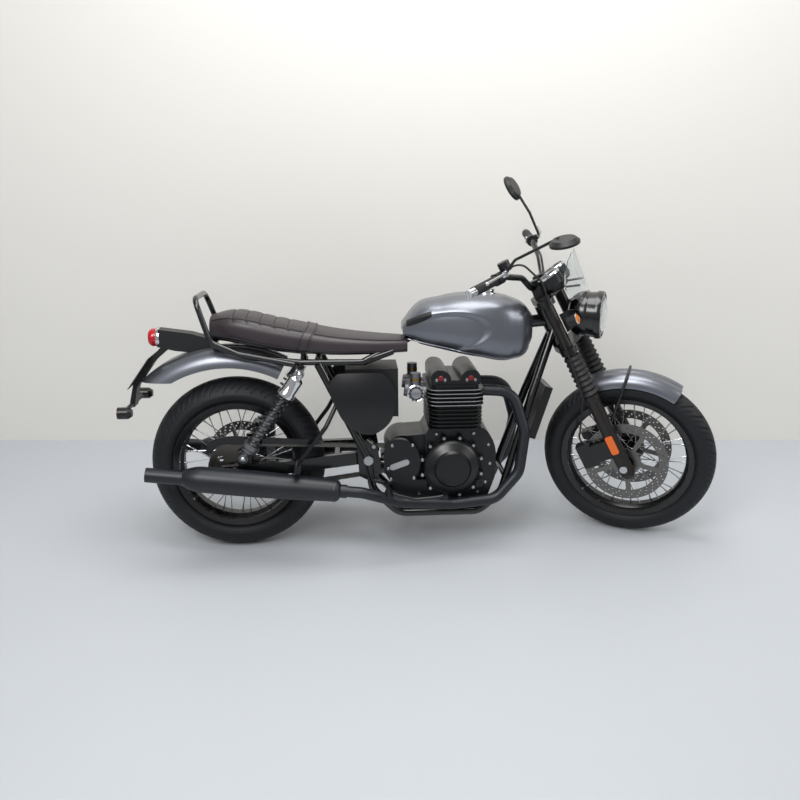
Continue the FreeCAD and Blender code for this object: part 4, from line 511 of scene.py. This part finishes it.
# Throttle bodies: silver die castings; each has a bright slotted cover on its side and a black
# cap with a gold band on top.
die_cast = finish("silver_die_casting",
                  {"Base Color": linear("#77797d"), "Metallic": 0.9, "Roughness": 0.42},
                  grit=(700.0, 3.0, 0.0004, 0.3))
dress(die_cast, "throttle_bodies")
chrome = finish("polished_chrome", {"Base Color": linear("#d8d9db"), "Metallic": 1.0},
                wear=(30.0, 3.0, 0.05, 0.14))
gold = finish("gold_passivated_band", {"Base Color": linear("#a8812f"), "Metallic": 1.0, "Roughness": 0.28})
throttle_x, throttle_z = 654, 591
cover = [(30.4, 118), (31.5, 118), (32, 121), (32, 128), (28, 130), (26, 129), (26, 127), (18, 127),
         (18, 130), (0, 130.6), (0, 118), (30.4, 118)]
fitted("throttle_covers", [stood(spun(cover, 48), (throttle_x, 0, throttle_z), (0, side, 0))
                           for side in (-1, 1)], chrome, "frame")
slots = []
for side in (-1, 1):
    for t in np.radians(np.arange(0, 360, 30)):
        spot = (throttle_x + 22 * math.cos(t), side * 129.2, throttle_z + 22 * math.sin(t))
        slots.append(stood(flat_plate([ring_of(0, 0, 1, 4) * [2.2, 9]], 1.6), spot, (0, side, 0),
                           (-math.sin(t), 0, math.cos(t))))
fitted("cover_slots", slots, satin_black, "frame")
band = spun([(19.2, 44), (20.2, 44), (20.2, 51), (19.2, 51), (19.2, 44)], 40)
fitted("cap_bands", [stood(band, (throttle_x, side * 100, throttle_z), (0, 0, 1)) for side in (-1, 1)],
       gold, "frame")

# Exhaust: mild steel pipes and silencers with a matt heat-proof coat, blue-black, a little dusty.
heat_black = finish("matt_exhaust_coat", {"Roughness": 0.42, "Specular IOR Level": 0.5},
                    mottle=(6.0, 6.0, "#0b0d12", "#141821"), grit=(1400.0, 2.0, 0.0002, 0.3))
dress(heat_black, "header_pipes", "silencers")

# Fuel tank: pressed steel welded along a lower flange, in satin graphite paint full of fine metal
# flake. Each side has a pressed knee recess and a stuck-on rubber pad, and a round tunnel runs
# over the frame's spine underneath.
def through(t, table):
    """Smooth values at t from rows of (t, values): a cubic between rows with their neighbours' slope."""
    table = np.asarray(table, float)
    k, v = table[:, 0], table[:, 1:]
    slope = np.gradient(v, k, axis=0)
    i = np.clip(np.searchsorted(k, t, side="right") - 1, 0, len(k) - 2)
    h = (k[i + 1] - k[i])[:, None]
    f = ((t - k[i]) / h[:, 0])[:, None]
    return ((2 * f ** 3 - 3 * f ** 2 + 1) * v[i] + (f ** 3 - 2 * f ** 2 + f) * h * slope[i] +
            (3 * f ** 2 - 2 * f ** 3) * v[i + 1] + (f ** 3 - f ** 2) * h * slope[i + 1])


def oval(t, a, table, rear, span, base, half):
    """Oval sections along X: y = half w |cos a|^(2/s), z = middle + reach |sin a|^(2/s), signs kept."""
    w, low, high, square = (c[:, None] for c in through(t, table).T)
    y = half * w * np.sign(np.cos(a)) * np.abs(np.cos(a)) ** (2 / square)
    z = base + (low + high) / 2 + (high - low) / 2 * np.sign(np.sin(a)) * np.abs(np.sin(a)) ** (2 / square)
    return np.stack([rear + span * t[:, None] + 0 * y, y, z], -1)


def knee_mask(x, z):
    """1 inside the knee's ellipse and 0 outside: u^2 (3 - 2 u), with u the share of the way in from
    the edge over the outer fifth."""
    far = np.hypot((x - 752) / 178, (z - 800 - 0.12 * (x - 752)) / 78)
    u = np.clip((1 - far) / 0.2, 0, 1)
    return u ** 2 * (3 - 2 * u)


tank_rear, tank_length, tank_base, tank_half, knee_depth = 612, 470, 690, 142, 10
tank_table = [(0, .50, 88, 142, 2.6), (.10, .66, 69, 201, 2.7), (.30, .86, 44, 233, 2.8),
              (.58, 1, 15, 245, 2.9), (.84, .88, 2.5, 228, 2.9), (.95, .64, 24.5, 201, 2.8),
              (1, .38, 64, 171.5, 2.6)]


def tank_form(t, a):
    """The tank's oval, with each flank pushed in by the knee's depth inside its leaning ellipse."""
    p = oval(t, a, tank_table, tank_rear, tank_length, tank_base, tank_half)
    x, y, z = p[..., 0], p[..., 1], p[..., 2]
    return np.stack([x, y - np.sign(y) * knee_depth * knee_mask(x, z) * (np.abs(y) > 60), z], -1)


def capped(skin):
    """Rows of sections closed at both ends, where a last row shrinks to the section's middle."""
    tips = [np.broadcast_to(skin[i].mean(0), skin[i].shape)[None] for i in (0, -1)]
    return np.concatenate([tips[0], skin, tips[1]]), lattice(len(skin) + 2, skin.shape[1]).tolist()


graphite_paint, tree, end = start("satin_graphite_flake")
place = add(tree, "ShaderNodeTexCoord").outputs["Object"]
flake = add(tree, "ShaderNodeTexVoronoi", {"Scale": 2600.0, "Vector": place})
glint = add(tree, "ShaderNodeMix", {"Factor": flake.outputs["Distance"], "A": linear("#85888f"),
            "B": linear("#62656d")}, data_type="RGBA")
coat = add(tree, "ShaderNodeBsdfPrincipled", {"Base Color": glint.outputs["Result"], "Metallic": 0.8,
           "Roughness": 0.33, "Coat Weight": 0.3, "Coat Roughness": 0.22})
tree.links.new(coat.outputs[0], end.inputs[0])
dress(graphite_paint, "front_mudguard", "rear_mudguard")
t = 0.5 - 0.5 * np.cos(np.linspace(0, np.pi, 131))
a = np.linspace(0, 2 * np.pi, 176, endpoint=False)[None, :]
skin = tank_form(t, a)
x, y, z = skin[..., 0], skin[..., 1], skin[..., 2]
tunnel_radius = 24.5
spine = 786 + (x - 650) * 0.0916
roof = spine + np.sqrt(np.clip(tunnel_radius ** 2 - y ** 2, 0, None))
z = np.where((np.abs(y) < tunnel_radius) & (np.sin(a) < 0), np.maximum(z, roof), z)
z = np.where((np.abs(y) < 60) & (np.sin(a) < 0) & (x < 668), np.maximum(z, 801), z)
tank_skin = fitted("tank_skin", [capped(np.stack([x, y, z], -1))], graphite_paint, "frame", 60)
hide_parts("fuel_tank")


def cord_round(path, radius, sides=12, up=(0, 0, 1)):
    """A round bar along a path of points, closed at both ends: centre + r (u cos t + v sin t), with u
    and v square to the path's direction."""
    path = np.asarray(path, float)
    way = np.gradient(path, axis=0)
    way /= np.linalg.norm(way, axis=1, keepdims=True)
    u = np.cross(way, np.asarray(up, float))
    u /= np.linalg.norm(u, axis=1, keepdims=True)
    v = np.cross(u, way)
    t = np.linspace(0, 2 * np.pi, sides, endpoint=False)
    r = np.broadcast_to(np.asarray(radius, float), (len(path),))[:, None, None]
    c, s = np.cos(t)[None, :, None], np.sin(t)[None, :, None]
    tube = path[:, None] + r * (u[:, None] * c + v[:, None] * s)
    tips = [np.repeat(path[i][None, None], sides, 1) for i in (0, -1)]
    return np.concatenate([tips[0], tube, tips[1]]), lattice(len(path) + 2, sides).tolist()


flange_lines = []
for side in (-1, 1):
    t = np.linspace(0.04, 0.97, 90)
    edge = tank_form(t, np.array([[math.radians(-52)]]))[:, 0] * [1, side, 1]
    flange_lines.append(cord_round(edge + [0, 0, -0.5], 2.6, 8, (0, 1, 0)))
fitted("tank_flange", flange_lines, graphite_paint, "frame")


def slab(top, under):
    """Two grids of points as one closed sheet: both faces, and a wall of quads round their rims."""
    rows, cols = top.shape[:2]
    n = rows * cols
    edge = np.concatenate([np.arange(cols), np.arange(1, rows) * cols + cols - 1,
                           n - 2 - np.arange(cols - 1), np.arange(rows - 2, 0, -1) * cols])
    walls = np.stack([edge, np.roll(edge, -1), np.roll(edge, -1) + n, edge + n], -1)
    sheet = lattice(rows, cols, False)
    return (np.concatenate([top.reshape(-1, 3), under.reshape(-1, 3)]),
            np.concatenate([sheet, sheet + n, walls]).tolist())


pads = []
for side in (-1, 1):
    u = np.linspace(-1, 1, 41)[:, None]
    v = np.linspace(-1, 1, 25)[None, :]
    squeeze = 1 - 0.35 * np.abs(u) ** 3
    px = 668 + 46 * u + 0 * v
    pz = 852 + 15 * v * squeeze + 20 * u
    t = (px - tank_rear) / tank_length
    w, low, high, square = (c.reshape(px.shape) for c in through(t.ravel(), tank_table).T)
    s = np.clip((pz - tank_base - (low + high) / 2) / ((high - low) / 2), -0.999, 0.999)
    py = tank_half * w * (1 - np.abs(s) ** square) ** (1 / square) - knee_depth * knee_mask(px, pz)
    lift = 3.4 * np.clip(1 - np.maximum(np.abs(u), np.abs(v)) ** 8, 0, 1) - 1.2
    pads.append(slab(np.stack([px, side * (py + lift), pz], -1), np.stack([px, side * (py - 3), pz], -1)))
pad_rubber = finish("moulded_black_rubber", {"Roughness": 0.6}, mottle=(24.0, 4.0, "#0e0e10", "#19191b"))
dress(pad_rubber, "fork_gaiters", "front_brake_hose")
fitted("knee_pads", pads, pad_rubber, "frame")
collar = [(33.4, 4), (40, 4), (41, 6), (40, 8.5), (34, 9.5), (33.4, 9.5), (33.4, 4)]
lid = [(0, 12), (33.3, 12), (33.3, 15.3), (30, 16.4), (20, 17), (18, 15.6), (0, 15.6), (0, 12)]
cap_x = 918
fitted("filler_ring", [stood(spun(collar, 64), (cap_x, 0, 926.5), (0, 0, 1)),
                       stood(spun(lid, 64), (cap_x, 0, 933), (0, 0, 1))], chrome, "frame")
dress(chrome, "tank_cap")

# Seat: foam on a moulded black pan under a dark brown grained cover, with a piped seam along both upper
# edges, five sewn ribs over the passenger's place and a double-stitched strap across. Black cords on the
# seams, in the rib grooves and on the strap's stitching add painted shade to these creases and edges.
seat_rear, seat_length, seat_base, seat_half = -72, 700, 722, 127
rib_places, strap_place = (12, 60, 108, 156, 204), 262
seat_table = [(0, .62, 60, 146, 2.6), (.08, .84, 54, 160, 2.7), (.35, 1, 18, 128, 3.0),
              (.62, .98, 2, 86, 3.0), (.84, .80, 1, 66, 3.0), (1, .56, 4, 58, 3.0)]


def seat_form(t, a, out=0.0):
    """The seat's oval, sunk 4 mm in each sewn rib on top and let out by a given distance."""
    p = oval(t, a, seat_table, seat_rear, seat_length, seat_base, seat_half)
    top = np.clip(np.sin(a) * 2.2 - 0.55, 0, 1)
    ribs = sum(np.exp(-((p[..., 0] - x) / 6.0) ** 2) for x in rib_places)
    swell = np.stack([0 * p[..., 0], np.cos(a) + 0 * p[..., 1], np.sin(a) + 0 * p[..., 1]], -1)
    return p + out * swell - np.stack([0 * ribs, 0 * ribs, 4.0 * ribs * top], -1)


brown_hide = finish("dark_brown_grained_cover", {"Roughness": 0.4, "Specular IOR Level": 0.55},
                    mottle=(7.0, 4.0, "#231b1e", "#352c31"), cells=(420.0, 0.0005, 0.45))
t = 0.5 - 0.5 * np.cos(np.linspace(0, np.pi, 241))
a = np.linspace(0, 2 * np.pi, 120, endpoint=False)[None, :]
cushion = fitted("seat_cushion", [capped(seat_form(t, a))], brown_hide, "frame", 75)
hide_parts("seat")
# Piped seams along both upper edges, drawn as black cords darker than the cover: real seams, darkened with
# painted shade.
trim = []
for side in (-1, 1):
    for degrees, r in ((38, 3.0), (-24, 2.0)):
        t = np.linspace(0.012, 0.985, 150)
        line = seat_form(t, np.array([[math.radians(degrees)]]))[:, 0] * [1, side, 1]
        trim.append(cord_round(line, r, 8, (0, 1, 0)))
# Black cords laid in the five rib grooves are painted shade. They darken the creases where shade falls.
across = np.radians(np.linspace(40, 140, 40))[None, :]
for x in rib_places:
    line = seat_form(np.array([(x - seat_rear) / seat_length]), across, 0.4)[0]
    trim.append(cord_round(line, 1.5, 6, (1, 0, 0.02)))
fitted("seat_piping_and_painted_groove_shade", trim, pad_rubber, "frame")
u = np.linspace(0, 1, 9)[:, None]
a = np.radians(np.linspace(-40, 220, 90))[None, :]
lean = 26 * np.clip(np.sin(a), -0.6, 1)
t = (strap_place + 37 * (u - 0.5) + lean - seat_rear) / seat_length
bands = [np.stack([seat_form(t[:, k], np.array([[a[0, k]]]), out)[:, 0] for k in range(90)], 1)
         for out in (3.4, 0.2)]
fitted("seat_strap", [slab(*bands)], brown_hide, "frame")
# Double stitching across the strap, drawn as 3 mm black cords near both its edges: real stitching, darkened
# with painted shade along the strap's edges.
stitches_and_edge_shade = []
for shift in (-14, 14):
    t = (strap_place + shift + lean[0] - seat_rear) / seat_length
    line = np.stack([seat_form(t[k:k + 1], np.array([[a[0, k]]]), 3.9)[0, 0] for k in range(90)])
    stitches_and_edge_shade.append(cord_round(line, 1.5, 6, (1, 0, 0.02)))
fitted("strap_stitching_and_painted_edge_shade", stitches_and_edge_shade, pad_rubber, "frame")

# Shock absorbers: black coil spring round a silver damper with a preload collar and an eye below,
# and a chrome can and eye over its top.
drop, rise = np.array([36.0, 0, 375]), np.array([245.0, 0, 676])
stroke = float(np.linalg.norm(rise - drop))
lean_way = (rise - drop) / stroke
coil_low, coil_high = 62, stroke - 88
coil_count, coil_radius, wire = 9, 22.4, 4.5
turns = np.linspace(0, coil_count, coil_count * 26)
coil_line = np.stack([coil_radius * np.cos(2 * np.pi * turns), coil_radius * np.sin(2 * np.pi * turns),
                      coil_low + wire + (coil_high - coil_low - 2 * wire) * turns / coil_count], -1)
coils, dampers, cans = [], [], []
body = [(0, 12), (13, 12), (16, 24), (23, 30), (23, 38), (30.6, 44), (30.6, 61), (17, 62),
        (17, 200), (0, 200)]
can = [(17, coil_high - 6), (30.6, coil_high - 6), (30.6, coil_high + 8), (27, coil_high + 14),
       (27, stroke - 23), (15.6, stroke - 12), (0, stroke - 12), (0, coil_high - 6), (17, coil_high - 6)]
rod_core = [(0, 190), (9, 190), (9, coil_high), (0, coil_high)]
eye = [(7.3, -12), (16, -12), (16.4, -9), (16.4, 9), (16, 12), (7.3, 12), (7.3, -12)]
for side in (-1, 1):
    foot = drop + [0, side * 160, 0]
    coils.append(stood(cord_round(coil_line, wire, 10), foot, lean_way, (0, 1, 0)))
    dampers += [stood(spun(body, 40), foot, lean_way, (0, 1, 0)),
                stood(spun(rod_core, 20), foot, lean_way, (0, 1, 0)), stood(spun(eye, 40), foot, (0, 1, 0))]
    cans += [stood(spun(can, 48), foot, lean_way, (0, 1, 0)),
             stood(spun(eye, 40), foot + stroke * lean_way, (0, 1, 0))]
springs = fitted("springs", coils, gloss_black, "frame")
fitted("dampers", dampers, die_cast, "frame")
fitted("shock_cans", cans, chrome, "frame")
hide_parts("shock_absorbers")


# Tail and indicators: black moulded housing and bracket, a red lens with prisms in a chrome bezel,
# a bare olive-grey plate, and round indicators with amber faces, the front pair in chrome rims.
# Airbox, mirror shells and clock cups are of the same grained plastic.
def along(tree, place, axis, zero):
    """A coordinate in metres in a node tree: the place's dot product with an axis, less its zero."""
    dot = add(tree, "ShaderNodeVectorMath", {0: place, 1: tuple(axis)}, operation="DOT_PRODUCT")
    return add(tree, "ShaderNodeMath", {0: dot.outputs["Value"], 1: float(zero @ axis)},
               operation="SUBTRACT").outputs[0]


black_plastic = finish("grained_black_abs", {"Base Color": linear("#0e0f11"), "Roughness": 0.42},
                       cells=(900.0, 0.0002, 0.25))
dress(black_plastic, "airbox", "tail_bracket", "front_indicators", "mirrors", "clocks")
red_lens = finish("red_lamp_lens",
                  {"Base Color": linear("#c01a20"), "Roughness": 0.12, "Transmission Weight": 0.25},
                  cells=(160.0, 0.001, 0.4))
dress(red_lens, "tail_lamp_lens")
bezel = spun([(32.2, -3), (37, -3), (38, 4), (36, 10), (32.2, 11), (32.2, -3)], 64)
fitted("tail_lamp_bezel", [stood(bezel, (-262.3, 0, 790), (-1, 0, 0), (0, 1, 0))], chrome, "frame")
olive_paint = finish("olive_grey_paint", {"Roughness": 0.45}, mottle=(20.0, 3.0, "#34352f", "#3f403a"))
dress(olive_paint, "number_plate")
amber_lens = finish("amber_lamp_lens", {"Base Color": linear("#d9730f"), "Roughness": 0.15},
                    cells=(260.0, 0.0008, 0.4))
glow = spun([(0, -1), (18.6, -1), (17, 1.2), (10, 3), (0, 3.6), (0, -1)], 40)
lamp_rim = spun([(18.6, -2), (21.4, -2), (21.4, 1), (20.4, 2.2), (18.6, 1.6), (18.6, -2)], 40)
lamp_face, tree, end = start("black_lamp_with_amber_face")
place = add(tree, "ShaderNodeTexCoord").outputs["Object"]
amber_from = -0.3895
behind = add(tree, "ShaderNodeMath", {0: along(tree, place, bike_x, bike_zero), 1: amber_from},
             operation="LESS_THAN")
shade = add(tree, "ShaderNodeMix", {"Factor": behind.outputs[0], "A": linear("#0e0f11"),
            "B": linear("#d9730f")}, data_type="RGBA")
coat = add(tree, "ShaderNodeBsdfPrincipled", {"Base Color": shade.outputs["Result"], "Roughness": 0.3})
tree.links.new(coat.outputs[0], end.inputs[0])
dress(lamp_face, "rear_indicators")
for name, part, material in (("front_amber", glow, amber_lens), ("front_amber_rims", lamp_rim, chrome)):
    fitted(name, [stood(part, (137.5, side * 134.6, 930), (1, 0, 0), (0, 1, 0)) for side in (-1, 1)],
           material, "steering")

# Chain, chain wheel and axles: steel, plated or bare, with fine turning marks and a film of oil.
oiled_steel = finish("oiled_steel", {"Base Color": linear("#6c6a66"), "Metallic": 1.0},
                     wear=(420.0, 3.0, 0.26, 0.42))
dress(oiled_steel, "rear_sprocket", "drive_chain")
dress(plated, "axle_and_pivot_bolt", "front_axle")

# Front fork: alloy sliders in dark brown-grey paint under ribbed rubber gaiters, each with an
# orange reflector stuck to its outer side.
fork_paint = finish("brown_grey_paint", {"Base Color": linear("#25211f"), "Metallic": 0.35},
                    wear=(30.0, 3.0, 0.26, 0.38))
dress(fork_paint, "fork_legs")
reflector = np.concatenate([ring_of(30, 7, 7, 16)[:5], ring_of(-30, 7, 7, 16)[4:9],
                            ring_of(-30, -7, 7, 16)[8:13], ring_of(30, -7, 7, 16)[12:]])
orange_lens = finish("orange_reflector", {"Base Color": linear("#e0661c"), "Roughness": 0.18},
                     cells=(300.0, 0.0006, 0.5))
fitted("fork_reflectors", [stood(flat_plate([reflector], 5), (48, side * 127, 436), (0, side, 0), (0, 0, 1))
                           for side in (-1, 1)], orange_lens, "steering")

# Handlebar ends, grips and controls: ribbed rubber grips with chromed end weights, black switch
# pods with a red switch, and bare aluminium levers. The steering's own axes say which is which.
grip_rubber, tree, end = start("grip_rubber_and_chrome_end")
place = add(tree, "ShaderNodeTexCoord").outputs["Object"]
chrome_from, rib_waves = 0.3925, 1400.0
across = add(tree, "ShaderNodeMath", {0: along(tree, place, fork_y, fork_zero)}, operation="ABSOLUTE")
tip = add(tree, "ShaderNodeMath", {0: across.outputs[0], 1: chrome_from}, operation="GREATER_THAN")
wave = add(tree, "ShaderNodeMath", {0: across.outputs[0], 1: rib_waves}, operation="MULTIPLY")
rib = add(tree, "ShaderNodeMath", {0: wave.outputs[0]}, operation="SINE")
groove = add(tree, "ShaderNodeBump", {"Height": rib.outputs[0], "Distance": 0.0006, "Strength": 0.5})
shade = add(tree, "ShaderNodeMix", {"Factor": tip.outputs[0], "A": linear("#101011"),
            "B": linear("#d4d5d7")}, data_type="RGBA")
wear = add(tree, "ShaderNodeMapRange", {"Value": tip.outputs[0], "To Min": 0.62, "To Max": 0.1})
coat = add(tree, "ShaderNodeBsdfPrincipled", {"Base Color": shade.outputs["Result"],
           "Metallic": tip.outputs[0], "Roughness": wear.outputs["Result"],
           "Normal": groove.outputs["Normal"]})
tree.links.new(coat.outputs[0], end.inputs[0])
dress(grip_rubber, "grips")
lever_and_pod, tree, end = start("bare_levers_on_black_pods")
place = add(tree, "ShaderNodeTexCoord").outputs["Object"]
grip_slope, grip_start, lever_clear, lever_from = 0.3718, -0.0837, 0.026, 0.249
across = add(tree, "ShaderNodeMath", {0: along(tree, place, fork_y, fork_zero)}, operation="ABSOLUTE")
forward = along(tree, place, fork_x, fork_zero)
run = add(tree, "ShaderNodeMath", {0: across.outputs[0], 1: grip_slope, 2: grip_start},
          operation="MULTIPLY_ADD")
clear = add(tree, "ShaderNodeMath", {0: forward, 1: run.outputs[0]}, operation="ADD")
front = add(tree, "ShaderNodeMath", {0: clear.outputs[0], 1: lever_clear}, operation="GREATER_THAN")
outer = add(tree, "ShaderNodeMath", {0: across.outputs[0], 1: lever_from}, operation="GREATER_THAN")
bare = add(tree, "ShaderNodeMath", {0: front.outputs[0], 1: outer.outputs[0]}, operation="MULTIPLY")
shade = add(tree, "ShaderNodeMix", {"Factor": bare.outputs[0], "A": linear("#0e0f11"),
            "B": linear("#c6c8ca")}, data_type="RGBA")
wear = add(tree, "ShaderNodeMapRange", {"Value": bare.outputs[0], "To Min": 0.4, "To Max": 0.24})
coat = add(tree, "ShaderNodeBsdfPrincipled", {"Base Color": shade.outputs["Result"],
           "Metallic": bare.outputs[0], "Roughness": wear.outputs["Result"]})
tree.links.new(coat.outputs[0], end.inputs[0])
dress(lever_and_pod, "controls")
button = spun([(0, -4), (6.5, -4), (6.5, 4), (5, 6), (0, 6.5)], 24)
fitted("stop_switch", [stood(button, (-27, -259, 1205), (-0.8, -0.2, 0.8))], red_plug, "steering")
fitted("pod_switches", [stood(button, (-27, 259, 1205), (-0.8, 0.2, 0.8)),
                        stood(button, (-31, 262, 1192), (-1, 0.2, 0.1)),
                        stood(button, (-31, -262, 1192), (-1, -0.2, 0.1))], plated, "steering")

# Headlight, clocks and mirrors: a black bowl and rim with a pressed reflector behind the clear
# lens, clock cups in chrome bezels with black dials and pale marks, and silvered mirror glass.
dress(gloss_black, "headlight_shell")
clear_glass = finish("pressed_clear_glass",
                     {"Base Color": linear("#eef3f4"), "Roughness": 0.03, "Transmission Weight": 0.96,
                      "IOR": 1.45})
dress(clear_glass, "headlight_lens", "flyscreen")
lamp_place, lamp_way = (78, 0, 930), (math.sin(math.radians(117)), 0, math.cos(math.radians(117)))
rim = [(84.2, 100), (86.2, 101), (86.2, 116), (83, 122.6), (76, 123), (76, 119), (84.2, 118),
       (84.2, 100)]
bowl = [(0, 89), (44, 91), (75.4, 106), (75.4, 107.4), (43, 93), (0, 91), (0, 89)]
bulb = [(0, 90.5), (10, 90.5), (10, 101), (7, 104), (0, 105)]
for name, profiles, material in (("headlight_rim", [rim], gloss_black),
                                 ("headlight_reflector", [bowl, bulb], chrome)):
    fitted(name, [stood(spun(p, 72), lamp_place, lamp_way, (0, 1, 0)) for p in profiles],
           material, "steering")
ear_bolt = spun([(0, -1), (9, -1), (9, 3), (6, 6), (0, 6.6)], 24)
clock_way = (math.sin(math.radians(-10)), 0, math.cos(math.radians(-10)))
bezel = spun([(37.8, 51), (42.3, 50), (43.2, 51), (43.2, 57), (41, 59.6), (37.8, 58.8), (37.8, 51)], 64)
clock_places = [np.array([92, side * 48, 1040]) for side in (-1, 1)]
trim = [stood(bezel, spot, clock_way, (0, 1, 0)) for spot in clock_places]
trim += [stood(ear_bolt, (104, side * 88.2, 930), (0, side, 0)) for side in (-1, 1)]
fitted("clock_bezels", trim, chrome, "steering")
marks = []
for side, clock in zip((-1, 1), clock_places):
    spot = clock + 53.1 * np.array(clock_way)
    for k in range(25):
        t = math.radians(-225 + 270 * k / 24)
        size = (2.6, 0.9) if k % 4 == 0 else (1.6, 0.5)
        up = np.cross([0, 1.0, 0], clock_way)
        offset = 31 * (math.cos(t) * np.array([0, -1.0, 0]) + math.sin(t) * up)
        marks.append(stood(flat_plate([ring_of(0, 0, 1, 4) * size], 0.6), spot + offset, clock_way, offset))
    needle = flat_plate([np.array([(-6, -1.4), (26, -0.5), (26, 0.5), (-6, 1.4)])], 0.8)
    marks.append(stood(needle, spot + 0.8 * np.array(clock_way), clock_way, (0.4, 0.9 * side, 0)))
pale_ink = finish("pale_dial_ink", {"Base Color": linear("#dfe2e0"), "Roughness": 0.5})
fitted("dial_marks", marks, pale_ink, "steering")
silvered = finish("silvered_mirror_glass",
                  {"Base Color": linear("#dfe3e6"), "Metallic": 1.0, "Roughness": 0.03})
glass_disc = spun([(0, 7), (46.5, 7), (46.5, 8.5), (0, 8.7), (0, 7)], 64)
fitted("mirror_glasses", [stood(glass_disc, (2, 282, 1400), (-1, 0, -0.1), (0, 1, 0)),
                          stood(glass_disc, (252, -286, 1218), (-0.3, 0.1, -1), (0, 1, 0))],
       silvered, "steering")
